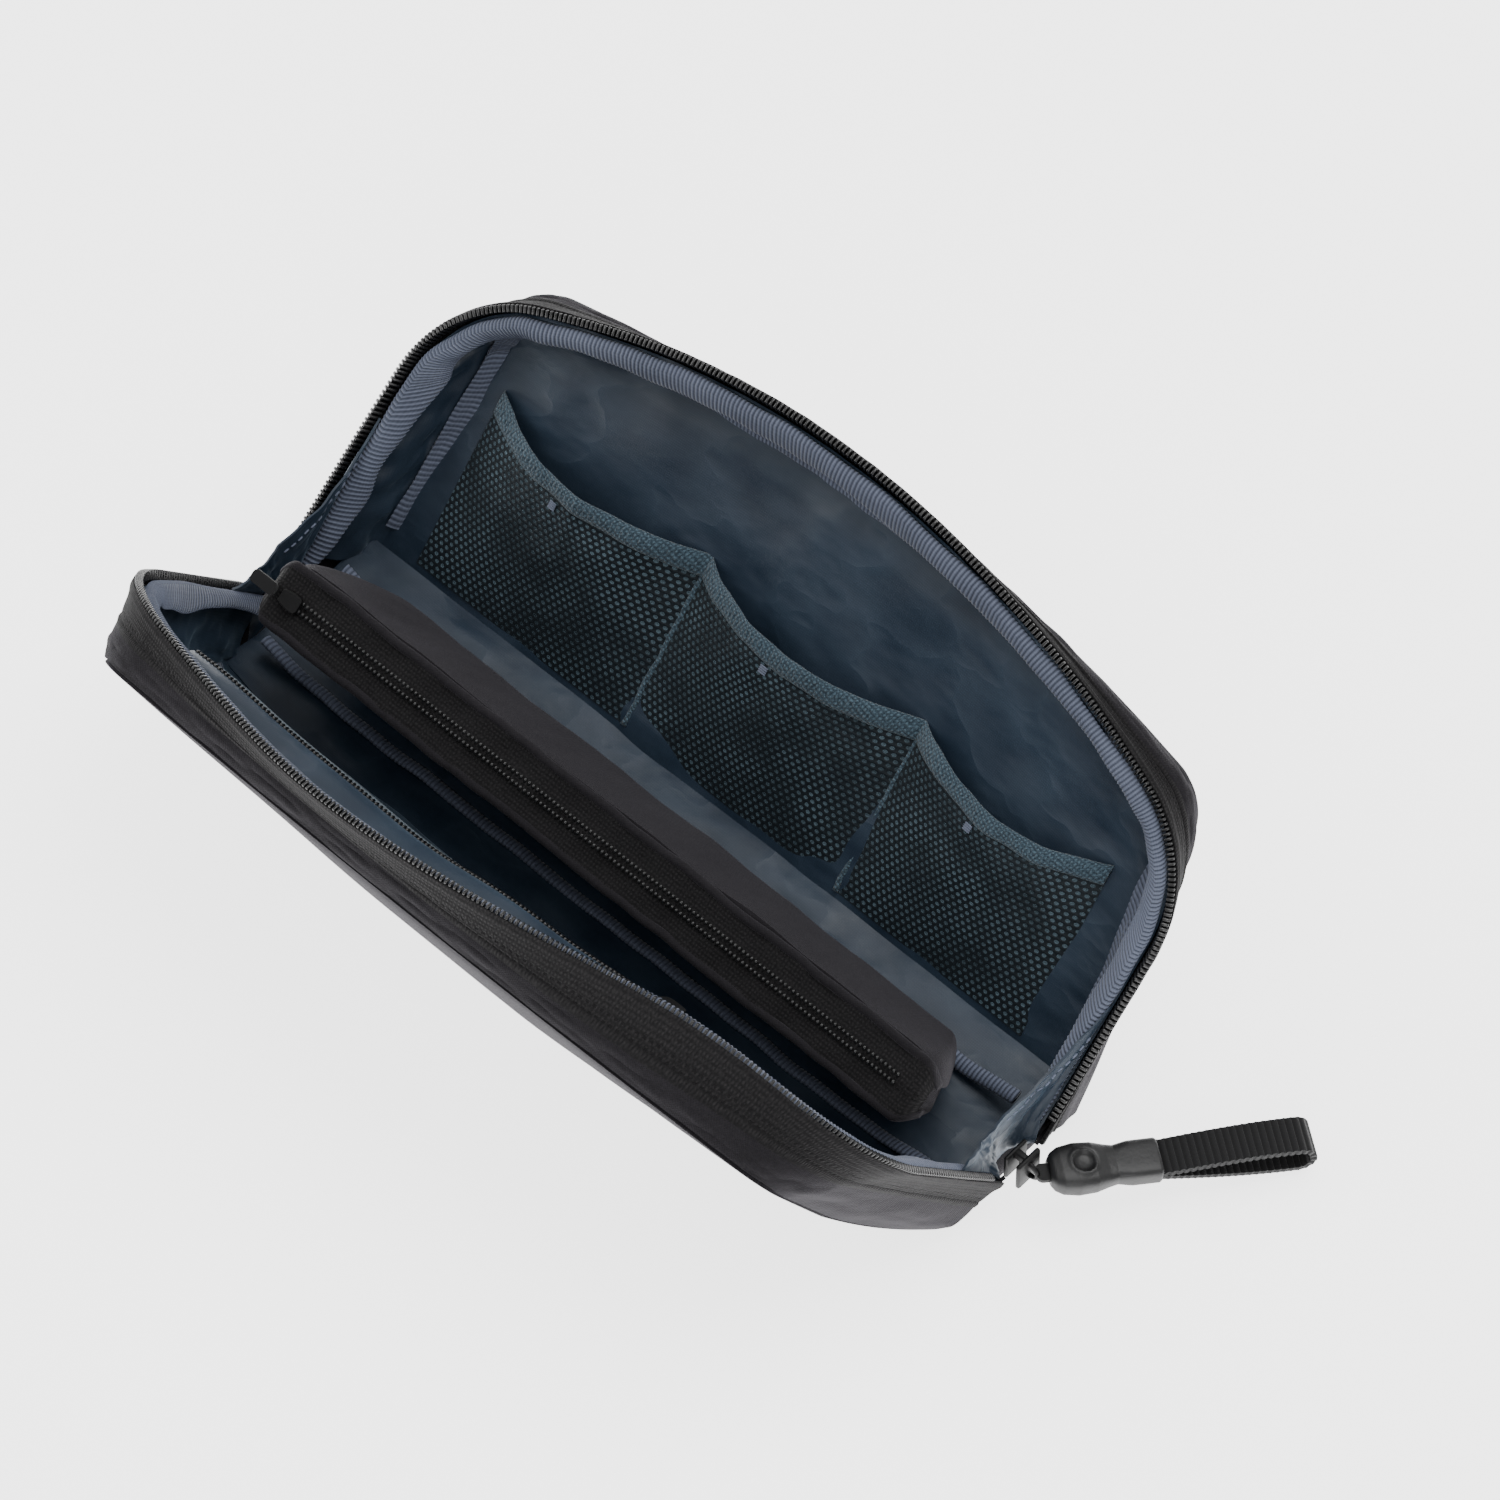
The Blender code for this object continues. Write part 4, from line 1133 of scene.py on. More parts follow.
@dataclass
class Shell:
    """The outside of a half: band, face, seams, tape and teeth."""

    half: Half
    layers: Layers

    def build(self) -> None:
        """Build every piece of the shell."""
        self.band()
        self.face()
        self.edge_seam()
        if self.half.side == "front":
            self.cross_seam()
        self.tape()
        self.teeth()

    def band(self) -> None:
        """Side band between the zipper tape and the face, softly bulged."""
        h, l = self.half, self.layers
        start = l.tape_start + l.tape_width - 0.0002

        def puff(t: Array, v: Array) -> Array:
            """How far the band swells out, with a little slack."""
            full = h.shape.full_depth(t)
            wide = (full - start) / 0.016
            slack = 0.00045 * ripple(t * 14, v * 1.5, 2.0 if h.side == "front" else 5.0)
            return -0.0011 * arch(v) * wide + slack * arch(v)

        piece = h.strip("shell_band", Finish.SHELL, lambda t: np.full(t.shape, start),
                        lambda t: h.shape.full_depth(t) - 0.0002, puff, 220, 14, l.fabric)
        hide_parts(f"{h.side}_side_band")
        h.shape.length

    def face(self) -> None:
        """Face panel, crowned a little over the foam board."""
        h, s = self.half, self.half.shape
        seed = 1.3 if h.side == "front" else 4.1

        def place(u: Array, v: Array) -> Array:
            """The face, crowned and bowed."""
            x, z = s.patch(u, v, 0.0).T
            middle = arch(u) * arch(v)
            slack = 0.0007 * ripple(x * 9, z * 9, seed)
            crown = (self.layers.face_crown + slack) * np.sqrt(np.clip(middle, 0, 1))
            depth = s.face_depth(z) + crown
            stand = s.bowed(h.side, u, (1 - v) ** 0.9)
            return h.world(np.stack([x, depth + stand, z + 0.75 * stand * (1 - v)], 1))

        piece = cloth_grid(f"{h.side}_shell_face", 140, 60, place, (0.246, 0.102),
                           self.layers.fabric, -h.sign)
        h.add(piece, Finish.SHELL, f"{h.side}_face_panel")
        self.bottom()
        self.board()
        for end in (-1, 1):
            self.corner_gore(end)

    def board(self) -> None:
        """Foam board behind the face; its lower corners follow the soft corners of the face."""
        h, s, l = self.half, self.half.shape, self.layers

        def place(u: Array, v: Array) -> Array:
            """The board's surface."""
            x, z = s.patch(u, v, l.board_margin).T
            return h.world(np.stack([x, s.face_depth(z) - l.board_depth, z], 1))

        piece = cloth_grid(f"{h.side}_foam", 80, 30, place, (0.238, 0.094), l.board, -h.sign)
        h.add(piece, Finish.FOAM, f"{h.side}_foam_board")

    def corner_gore(self, end: int) -> None:
        """Small gore that closes the lower corner between the band's foot and the fold.

        Args:
            end: -1 for the left end, 1 for the right.
        """
        h, s = self.half, self.half.shape
        label = end_label(end)
        foot = np.array([s.mouth_half, 0.0004, s.foot_z])
        fold = np.array([s.mouth_half - s.taper_bottom + 0.0012, s.fold_y, s.fold_z - 0.0004])
        heel = np.array([s.mouth_half - s.taper_bottom, s.depth_bottom, s.face_bottom])

        def place(u: Array, v: Array) -> Array:
            """The gore between the band's foot, the fold and the heel.

            Args:
                u: Shares along the piece.
                v: Shares across or round the piece.

            Returns:
                Rows of x, y and z.
            """
            upper = foot + (heel - foot) * u[:, None]
            share = foot[1] + (heel[1] - foot[1]) * u
            before = np.clip(share / fold[1], 0, 1)[:, None]
            after = np.clip((share - fold[1]) / (heel[1] - fold[1]), 0, 1)[:, None]
            lower = foot + (fold - foot) * before + (heel - fold) * after
            lower[:, 2] += (heel[2] - fold[2]) * (after ** 1.25 - after)[:, 0]
            point = upper * (1 - v[:, None]) + lower * v[:, None]
            puff = 0.0006 * arch(u) * arch(v)
            point[:, 0] = (point[:, 0] + puff) * end
            return h.world(point)

        piece = cloth_grid(f"{h.side}_{label}_corner_gore", 24, 8, place, (0.030, 0.006),
                           TURNED_CLOTH, float(h.sign * end))
        h.add(piece, Finish.SHELL)

    def bottom(self) -> None:
        """Rounded strip between the fold and the face."""
        h, s = self.half, self.half.shape

        def place(u: Array, v: Array) -> Array:
            """The strip's rounded surface."""
            x = (2 * u - 1) * (s.mouth_half - s.taper_bottom + 0.0012 * (1 - v))
            depth = s.fold_y + 0.0004 + (s.depth_bottom - s.fold_y - 0.0004) * v
            z = s.fold_z - 0.0006 + (s.face_bottom - s.fold_z + 0.0006) * v ** 1.25
            stand = s.bowed(h.side, u, v ** 1.3)
            return h.world(np.stack([x, depth + stand, z + 0.75 * stand], 1))

        piece = cloth_grid(f"{h.side}_shell_bottom", 140, 10, place, (0.243, 0.0165),
                           TURNED_CLOTH, -h.sign)
        h.add(piece, Finish.SHELL, f"{h.side}_bottom_strip")

    def edge_seam(self) -> None:
        """Turned seam along the edge between band and face."""
        h, s = self.half, self.half.shape

        def place(u: Array, v: Array) -> Array:
            """A thin tube along the edge."""
            angle = TURN * v
            radius = self.layers.seam_radius
            depth = s.full_depth(u) - 0.0004 + radius * np.cos(angle)
            return h.world(s.wall(u, depth, 0.0002 + radius * np.sin(angle)))

        piece = cloth_grid(f"{h.side}_edge_seam", 240, 8, place, (s.length, 0.0047))
        close_tube(piece)
        h.add(piece, Finish.SHELL)

    def cross_seam(self, where: float = -0.062) -> None:
        """Short turned seam where the band's two lengths meet.

        Args:
            where: Its place along the pouch.
        """
        h, s, l = self.half, self.half.shape, self.layers
        middle = float(s.station[int(np.argmin(np.abs(s.mouth[:, 0] - where)
                                               + (s.mouth[:, 1] < s.mouth_top * 0.7)))])
        radius = 0.0006

        def place(u: Array, v: Array) -> Array:
            """A thin tube across the band."""
            angle = TURN * v
            t = middle + radius * np.cos(angle) / s.length
            start = l.tape_start + l.tape_width
            depth = start + (s.full_depth(t) - start - 0.0004) * u
            return h.world(s.wall(t, depth, radius * np.sin(angle)))

        piece = cloth_grid(f"{h.side}_cross_seam", 20, 8, place, (0.012, 0.0038))
        close_tube(piece)
        h.add(piece, Finish.SHELL)

    def tape(self) -> None:
        """Woven tape outside the teeth, with a stitched fold at its outer edge."""
        h, l = self.half, self.layers

        def profile(t: Array, v: Array) -> Array:
            """Inset of the tape: ridges at its folded edges."""
            ridge = 0.0006 * bump_curve(v, 0.90, 0.07) + 0.0003 * bump_curve(v, 0.12, 0.10)
            return -ridge + 0.0001 * ripple(t * 30, v * 2, 3.0)

        piece = h.strip("tape", Finish.TAPE, lambda t: np.full(t.shape, l.tape_start - 0.0012),
                        lambda t: np.full(t.shape, l.tape_start + l.tape_width),
                        profile, 300, 16, l.tape_thickness)
        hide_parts(f"{h.side}_zip_tape")

    def teeth(self) -> None:
        """Coil teeth along the mouth: one tooth repeated."""
        h, s, l = self.half, self.half.shape, self.layers
        tooth = small_block((0.00085, 0.0030, 0.0021), 0.00028, 2)
        count = int(s.length * (1 - 2 * s.zip_start) / l.tooth_pitch)
        t = np.linspace(s.zip_start, 1 - s.zip_start, count)
        middle = np.full(t.shape, l.mouth_gap + l.tooth_radius + 0.0002)
        at = h.world(s.wall(t, middle, np.full(t.shape, 0.0004)))
        ahead = h.world(s.wall(np.clip(t + 0.002, 0, 1), middle, np.full(t.shape, 0.0004)))
        deeper = h.world(s.wall(t, middle + 0.001, np.full(t.shape, 0.0004)))
        frames = []
        for place, forward, down in zip(at, ahead, deeper):
            x_axis = unit(forward - place)
            y_axis = unit(down - place) + 0.25 * x_axis
            y_axis = unit(y_axis - x_axis * float(y_axis @ x_axis) * 0.8)
            z_axis = np.cross(x_axis, y_axis)
            frames.append((np.stack([x_axis, y_axis, z_axis], 1), place))
        piece = scatter(f"{h.side}_teeth", tooth, frames)
        h.add(piece, Finish.TEETH, f"{h.side}_zip_coil")


def close_tube(piece: Any) -> None:
    """Join a rolled grid's long edges and close its ends.

    Args:
        piece: The object, whose v runs round the tube.
    """
    deselect()
    bpy.context.view_layer.objects.active = piece
    piece.select_set(True)
    bpy.ops.object.mode_set(mode="EDIT")
    bpy.ops.mesh.select_all(action="SELECT")
    bpy.ops.mesh.remove_doubles(threshold=1e-6)
    bpy.ops.mesh.select_all(action="DESELECT")
    bpy.ops.mesh.select_non_manifold()
    bpy.ops.mesh.fill_holes(sides=0)
    bpy.ops.mesh.select_all(action="SELECT")
    bpy.ops.mesh.normals_make_consistent(inside=False)
    bpy.ops.object.mode_set(mode="OBJECT")


@dataclass
class Inside:
    """The inside of a half: bindings and lining."""

    half: Half
    layers: Layers

    def build(self) -> None:
        """Build the bindings and the lining."""
        self.mouth_binding()
        self.lining()
        self.seam_binding()

    def mouth_binding(self) -> None:
        """Ribbed binding rolled round the seam inside the teeth, with real ribs."""
        h, s, l = self.half, self.half.shape, self.layers
        seed = 0.7 if h.side == "front" else 2.9

        def place(u: Array, v: Array) -> Array:
            """The ribbed roll, uneven as sewn tape is.

            Args:
                u: Shares along the piece.
                v: Shares across or round the piece.

            Returns:
                Rows of x, y and z.
            """
            angle = TURN * v
            wide = l.binding_width / 2 * (1 + 0.10 * ripple(u * 8, u * 0, seed))
            thick = l.binding_half_thickness * (1 + 0.12 * ripple(u * 11, u * 0, seed + 2))
            rib = l.rib_height * np.cos(TURN * u * s.length / RIB_PITCH)
            side = signed_power(np.cos(angle), 0.8)
            inset = l.binding_inset + l.binding_width / 2 + 0.0006 + (wide + rib) * side
            inset = inset + 0.0006 * ripple(u * 13, u * 0, seed + 4)
            depth = l.mouth_gap + 0.0019 + (thick + rib) * np.sin(angle)
            depth = depth + 0.0016 * np.clip(side, 0, 1) * (1 + ripple(u * 10, u * 0, seed + 5))
            return h.world(s.wall(u, depth, inset))

        piece = cloth_grid(f"{h.side}_mouth_binding_roll", 1500, 12, place,
                           (s.length, 2.6 * l.binding_width))
        close_tube(piece)
        h.add(piece, Finish.BINDING, f"{h.side}_mouth_binding")

    def lining(self) -> None:
        """Lining tray: a wall that runs in from the binding and a face over the board."""
        h, s, l = self.half, self.half.shape, self.layers
        seed = 6.1 if h.side == "front" else 3.3
        rim = 0.0026

        def wall_part(u: Array, v: Array) -> Array:
            """The lining's wall, rounded into the face at its foot.

            Args:
                u: Shares along the piece.
                v: Shares across or round the piece.

            Returns:
                Rows of x, y and z.
            """
            deepest = s.full_depth(u) - l.face_lining - 0.0006
            turn = np.clip(v, 0, 1)
            depth = rim + (deepest - rim) * np.sin(0.5 * math.pi * turn) ** 1.05
            middle = arch(turn)
            slack = (0.0011 * ripple(u * 17, v * 1.2, seed)
                     + 0.0007 * ripple(u * 41, v * 2, seed + 1))
            belly = 0.0012 * middle
            corner = 0.0045 * np.clip(turn - 0.72, 0, 1) ** 2 / 0.0784
            inset = l.lining_inset + belly + corner + (slack + 0.0006) * middle ** 0.7
            return h.world(s.wall(u, depth, inset))

        wall = cloth_grid(f"{h.side}_lining_wall", 320, 18, wall_part, (s.length, 0.022),
                          LINING_CLOTH, -h.sign)
        h.add(wall, Finish.LINING, f"{h.side}_lining")

        def face_part(u: Array, v: Array) -> Array:
            """The lining's face, loose over the board."""
            x, z = s.patch(u, v, 0.0032).T
            edge = np.clip(np.minimum(arch(v), arch(u)) * 3, 0, 1)
            slack = (0.0012 * ripple(x * 9, z * 12, seed + 2)
                     + 0.0007 * ripple(x * 24, z * 20, seed + 3)) * edge
            depth = s.face_depth(z) - l.face_lining - 0.0010 - 0.0012 * edge + slack
            return h.world(np.stack([x, depth, z], 1))

        face = cloth_grid(f"{h.side}_lining_face", 200, 90, face_part, (0.238, 0.094),
                          LINING_CLOTH, -h.sign)
        h.add(face, Finish.LINING)

    def seam_binding(self) -> None:
        """Ribbed tape over the seam between the wall and the face of the lining."""
        h, s, l = self.half, self.half.shape, self.layers
        seed = 8.2 if h.side == "front" else 1.9

        def shallow(t: Array) -> Array:
            """Depth of the tape's near edge."""
            return s.full_depth(t) - l.face_lining - 0.0026

        def deep(t: Array) -> Array:
            """Depth of the tape's far edge."""
            return s.full_depth(t) - l.face_lining - 0.0004

        def profile(t: Array, v: Array) -> Array:
            """Inset of the ribbed tape."""
            ribs = 0.00009 * np.cos(TURN * t * s.length / RIB_PITCH)
            wave = 0.0007 * ripple(t * 15, v * 0.7, seed)
            return l.lining_inset + 0.0028 + 0.0024 * v - ribs + wave

        piece = h.strip("seam_binding_ribs", Finish.BINDING, shallow, deep, profile, 1100, 4,
                        0.0007, skip=0.02)
        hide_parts(f"{h.side}_seam_binding")


# ---- pockets
@dataclass
class BackPocket:
    """Net pocket of the back half: three bags under one folded elastic hem."""

    half: Half
    layers: Layers
    left: float = -0.1060
    right: float = 0.1030
    dividers: tuple[float, float] = (-0.0330, 0.0400)
    top: float = 0.0710
    bottom: float = 0.0180
    bulge: float = 0.0120
    hem_height: float = 0.0066
    sag: float = 0.0060
    flat_height: float = 0.0450

    def build(self) -> None:
        """Build the net, the hem, the divider seams and the tacks."""
        self.net()
        self.hem()
        self.seams()
        self.tacks()

    def edges(self) -> list[float]:
        """Seams of the pocket from left to right."""
        return [self.left, *self.dividers, self.right]

    def bag(self, x: Array) -> Array:
        """0 at the seams and 1 in the middle of each bag.

        Args:
            x: Places along the pouch.

        Returns:
            The fullness.
        """
        seams = np.array(self.edges())
        slot = np.clip(np.searchsorted(seams, x) - 1, 0, 2)
        share = (x - seams[slot]) / (seams[slot + 1] - seams[slot])
        return np.sin(math.pi * np.clip(share, 0, 1))

    def surface(self, x: Array, z: Array, extra: float = 0.0) -> Array:
        """A place on the net.

        Args:
            x: Places along the pouch.
            z: Heights on the closed drawing, before the sag.
            extra: Distance further off the lining.

        Returns:
            World points.
        """
        share = np.clip((z - self.bottom) / (self.top - self.bottom), 0, 1.1)
        full = self.bag(x)
        puff = self.bulge * full ** 0.85 * np.sin(0.5 * math.pi * np.clip(share, 0, 1)) ** 0.9
        soft = (0.0011 * ripple(x * 22, z * 20, 4.4) + 0.0008 * ripple(x * 50, z * 40, 7.7))
        soft = soft * np.sqrt(full) * share
        drop = self.sag * full * share ** 2
        depth = self.half.shape.face_depth(z) - self.layers.face_lining - 0.0016
        return self.half.world(np.stack([x, depth - puff - soft - extra, z - drop], 1))

    def squash(self, piece: Any) -> None:
        """Work out a point on the lining in the pocket's middle, which nothing uses, and give a
        piece of the pocket a mesh of its own.

        Args:
            piece: The object.
        """
        shape = self.half.shape
        middle = self.flat_height
        depth = float(shape.face_depth(np.array([middle]))[0]) - self.layers.face_lining - 0.0028
        anchor = self.half.world(np.array([[0.0, depth, middle]]), sway=False)[0]
        tuple(anchor)
        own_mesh(piece)

    def net(self) -> None:
        """The three bags of net."""
        tall = self.top - self.bottom

        def place(u: Array, v: Array) -> Array:
            """The net's surface."""
            x = self.left + (self.right - self.left) * u
            return self.surface(x, self.bottom + tall * 0.94 * v)

        piece = cloth_grid("back_net", 260, 70, place, (0.235, 0.060), NET_CLOTH, 0.0)
        self.half.add(piece, Finish.NET, "back_mesh_pocket")
        self.squash(piece)

    def hem(self) -> None:
        """Folded elastic along the top of the net."""
        def place(u: Array, v: Array) -> Array:
            """The folded elastic, puckered and fluted."""
            x = self.left + (self.right - self.left) * u
            angle = TURN * v
            up = self.top - self.hem_height / 2 + 0.5 * self.hem_height * np.cos(angle)
            thick = 0.0008 * np.sin(angle) + 0.0004
            pucker = 0.00025 * np.sin(TURN * x / 0.0016)
            flute = 0.0009 * ripple(x * 30, up * 20, 9.1)
            return self.surface(x, up + flute, thick + pucker * np.abs(np.sin(angle)))

        piece = cloth_grid("back_hem", 420, 14, place, (0.235, 2 * self.hem_height))
        close_tube(piece)
        self.half.add(piece, Finish.HEM, "back_pocket_hem")
        self.squash(piece)

    def seams(self) -> None:
        """Stitched channels that part the bags."""
        for label, x in zip(("left", "right"), self.dividers):
            def place(u: Array, v: Array, x: float = x) -> Array:
                """A flat channel up the lining."""
                z = self.bottom + (self.top - self.bottom) * 0.98 * u
                angle = TURN * v
                across = x + 0.0009 * np.cos(angle) + 0.0004 * ripple(u * 4, u * 0, x * 50)
                depth = (self.half.shape.face_depth(z) - self.layers.face_lining - 0.0019
                         + 0.0005 * np.sin(angle))
                return self.half.world(np.stack([across, depth, z], 1))

            piece = cloth_grid(f"pocket_seam_{label}", 60, 8, place, (0.052, 0.004))
            close_tube(piece)
            self.half.add(piece, Finish.HEM, f"pocket_divider_seam_{label}")

    def tacks(self) -> None:
        """Short bar tacks just under the hem, one in each bag."""
        seams = self.edges()
        frames = []
        for first, last in zip(seams[:-1], seams[1:]):
            middle = np.array([(first + last) / 2 - 0.004])
            for k in range(4):
                z = np.array([self.top - self.hem_height - 0.0012 - 0.0007 * k])
                at = self.surface(middle, z, 0.0006)[0]
                near = self.surface(middle + 0.001, z, 0.0006)[0]
                off = self.surface(middle, z, 0.0016)[0]
                x_axis = unit(near - at)
                y_axis = np.cross(unit(off - at), x_axis)
                frames.append((np.stack([x_axis, y_axis, np.cross(x_axis, y_axis)], 1), at))
        piece = scatter("hem_tacks", small_block((0.0024, 0.0005, 0.0004), 0.00015), frames)
        self.half.add(piece, Finish.BINDING)
        self.squash(piece)


@dataclass
class FrontPocket:
    """Net pocket of the front half, closed by its own small zipper."""

    half: Half
    layers: Layers
    half_width: float = 0.1000
    zip_z: float = 0.0780
    bottom: float = 0.0180
    bulge: float = 0.0080
    tape: float = 0.0060

    def build(self) -> None:
        """Build the net, both tapes and the coil."""
        self.net()
        self.tapes()
        self.coil()

    def ground(self, z: Array) -> Array:
        """Depth of the lining behind the pocket at some heights."""
        return self.half.shape.face_depth(z) - self.layers.face_lining - 0.0012

    def sway(self, x: Array) -> Array:
        """How the pocket's zipper waves up and down along the pouch."""
        return 0.0013 * np.sin(x * 62) + 0.0007 * np.sin(x * 131 + 1.0)

    def depth_at(self, z: Array) -> Array:
        """Depth of the pocket's front at a height.

        Args:
            z: Heights.

        Returns:
            Depths.
        """
        share = np.clip((z - self.bottom) / (self.zip_z - self.bottom), 0, 1)
        lift = self.bulge * np.sin(0.5 * math.pi * share ** 2)
        return self.ground(z) - lift

    def point(self, x: Array, z: Array, out: Array | float = 0.0) -> Array:
        """A place on the pocket.

        Args:
            x: Places along the pouch.
            z: Heights.
            out: Distance off the pocket, towards the middle of the pouch.

        Returns:
            World points.
        """
        sway = self.sway(x)
        fall = np.clip((z - self.bottom) / (self.zip_z - self.bottom), 0, 1)
        depth = self.depth_at(z) - out - 0.8 * sway * fall
        return self.half.world(np.stack([x, depth, z + sway * fall], 1))

    def net(self) -> None:
        """The net below the zipper."""
        top = self.zip_z - 0.0012 - self.tape

        def place(u: Array, v: Array) -> Array:
            """The net's surface."""
            x = (2 * u - 1) * self.half_width
            z = self.bottom + (top - self.bottom) * v
            soft = 0.0009 * ripple(x * 20, z * 18, 5.5) * arch(v)
            return self.point(x, z, soft + 0.0003)

        piece = cloth_grid("front_net", 200, 50, place, (0.2, 0.054), NET_CLOTH, 0.0)
        self.half.add(piece, Finish.NET, "front_mesh_pocket")

    def tapes(self) -> None:
        """The small zipper's two tapes; the upper one turns back to the lining."""
        low = self.zip_z - 0.0010 - self.tape

        def lower(u: Array, v: Array) -> Array:
            """The lower tape, which lies in the pocket's front."""
            x = (2 * u - 1) * self.half_width
            z = low + (self.tape + 0.0002) * v
            return self.point(x, z, 0.0006 + 0.0003 * bump_curve(v, 0.15, 0.1))

        piece = cloth_grid("front_pocket_lower_tape", 240, 8, lower, (0.2, self.tape), 0.0006, 0.0)
        self.half.add(piece, Finish.HEM, "front_pocket_tape_lower")

        def upper(u: Array, v: Array) -> Array:
            """The upper tape, which turns back to the lining."""
            x = (2 * u - 1) * self.half_width
            z = self.zip_z + 0.0008 + (self.tape + self.bulge - 0.002) * v
            depth = self.ground(z) - self.bulge * np.cos(0.5 * math.pi * v) - 0.0006
            sway = self.sway(x)
            return self.half.world(np.stack([x, depth - 0.8 * sway * (1 - v),
                                             z + sway * (1 - v)], 1))

        piece = cloth_grid("front_pocket_upper_tape", 240, 12, upper, (0.2, 0.013),
                           LINING_CLOTH, 0.0)
        self.half.add(piece, Finish.LINING, "front_pocket_tape_upper")

    def coil(self) -> None:
        """The small zipper's coil."""
        count = int(2 * self.half_width / SMALL_TOOTH_PITCH)
        x = np.linspace(-self.half_width + 0.001, self.half_width - 0.001, count)
        at = self.point(x, np.full(x.shape, self.zip_z), 0.0008)
        ahead = self.point(x + 0.001, np.full(x.shape, self.zip_z), 0.0008)
        above = self.point(x, np.full(x.shape, self.zip_z + 0.001), 0.0008)
        frames = []
        for place, forward, up in zip(at, ahead, above):
            x_axis = unit(forward - place)
            y_axis = up - place
            y_axis = unit(y_axis - x_axis * float(y_axis @ x_axis))
            frames.append((np.stack([x_axis, y_axis, np.cross(x_axis, y_axis)], 1), place))
        tooth = small_block((0.0008, 0.0026, 0.0014), 0.00025, 1)
        piece = scatter("front_pocket_teeth", tooth, frames)
        self.half.add(piece, Finish.TEETH, "front_pocket_coil")


# ---- base and gussets
@dataclass
class Base:
    """Bottom panel, its lining and the folded gussets at both ends.

    Attributes:
        gusset_height: Height of a gusset on a half's leg, by side and end.
        fold_top: Height of a gusset's middle fold over the base, by end.
    """

    gusset_height = {("front", -1): 0.017, ("back", -1): 0.044,
                     ("front", 1): 0.020, ("back", 1): 0.040}
    fold_top = {-1: 0.0318, 1: 0.0333}
    halves: dict[str, Half]
    layers: Layers
    wardrobe: Wardrobe

    @property
    def shape(self) -> HalfShape:
        """The drawing that both halves share."""
        return self.halves["front"].shape

    def add(self, piece: Any, finish: Finish, *nodes: str) -> None:
        """Fit a piece of the base that stands for these CAD nodes."""
        self.wardrobe.fit(piece, finish, "", nodes)

    def build(self) -> None:
        """Build the panel, the lining and the gussets."""
        low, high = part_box("base_panel")
        half_x = (high[0] - low[0]) / 2
        half_y = (high[1] - low[1]) / 2

        def panel(u: Array, v: Array) -> Array:
            """The flat panel."""
            x, y = (2 * u - 1) * half_x, (2 * v - 1) * half_y
            return np.stack([x, y, np.full(x.shape, high[2])], 1)

        piece = cloth_grid("base_shell", 60, 12, panel, (0.244, 0.031), 0.0012, -1.0)
        self.add(piece, Finish.SHELL, "base_panel")
        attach(piece, "base")
        for end in (-1, 1):
            self.end_flap(end)
        for side in SIDES:
            self.floor_lining(side)
            for end in (-1, 1):
                self.gusset(side, end)

    def end_flap(self, end: int) -> None:
        """Turned-up end of the base, which covers the end of its board.

        Args:
            end: -1 for the left end, 1 for the right.
        """
        reach = self.shape.mouth_half - self.shape.taper_bottom + 0.0002

        def place(u: Array, v: Array) -> Array:
            """The flap, rounded off at both corners."""
            y = (2 * u - 1) * (self.shape.fold_y - 0.0002)
            z = 0.0002 + 0.0068 * v * (1 - 0.35 * np.abs(2 * u - 1) ** 3)
            x = end * (reach + 0.0008 * arch(v) - 0.0012 * v)
            return np.stack([x, y, z], 1)

        piece = cloth_grid(f"base_{end_label(end)}_flap", 24, 8, place, (0.031, 0.007),
                           TURNED_CLOTH, float(end))
        self.add(piece, Finish.SHELL)
        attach(piece, "base")

    def floor_lining(self, side: str) -> None:
        """Lining from the middle of the base up into a half.

        Args:
            side: "front" or "back".
        """
        half = self.halves[side]
        s = self.shape
        top_z = s.face_bottom + 0.0035
        wide = s.mouth_half - s.taper_bottom - 0.0004
        far = float(s.face_depth(np.array([top_z]))[0]) - self.layers.face_lining - 0.0014
        end = half.world(np.array([[0.0, far, top_z]]), sway=False)[0]
        low_z = 0.0058

        def place(u: Array, v: Array) -> Array:
            """The lining from the base's middle line up to the half."""
            x = (2 * u - 1) * wide
            rim = half.world(np.stack([x, np.full(x.shape, far), np.full(x.shape, top_z)], 1))
            y = rim[:, 1] * v
            z = (low_z + (rim[:, 2] - low_z) * v ** 2.2
                 + 0.0006 * ripple(x * 14, v * 1.5, 3.7))
            return np.stack([x, y, np.maximum(z, 0.0050)], 1)

        piece = cloth_grid(f"{side}_floor_lining", 120, 16, place, (2 * wide, 0.03),
                           LINING_CLOTH, 0.0)
        nodes = ("base_lining",) if side == "front" else ()
        self.add(piece, Finish.LINING, *nodes)
        tuple(end)
        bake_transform(piece)
        self.fold_binding(half)

    def fold_binding(self, half: Half) -> None:
        """Ribbed binding over the lining's seam along a fold.

        Args:
            half: The half on the other side of the fold.
        """
        reach = self.shape.mouth_half - 0.0140
        centre_y = half.sign * (self.shape.fold_y - 0.0010)

        def place(u: Array, v: Array) -> Array:
            """The ribbed roll over the fold."""
            x = (2 * u - 1) * reach
            angle = TURN * v
            rib = self.layers.rib_height * np.cos(TURN * x / RIB_PITCH)
            rise = 0.0012 * ripple(u * 5, u * 0, 2.0 + half.sign) + 0.0050 * np.abs(2 * u - 1) ** 8
            y = centre_y + (0.0019 + rib) * np.cos(angle) + 0.0005 * ripple(u * 7, u * 0, 5.0)
            z = 0.0078 + rise + (0.0012 + rib) * np.sin(angle) + 0.35 * half.sign * (y - centre_y)
            return np.stack([x, y, z], 1)

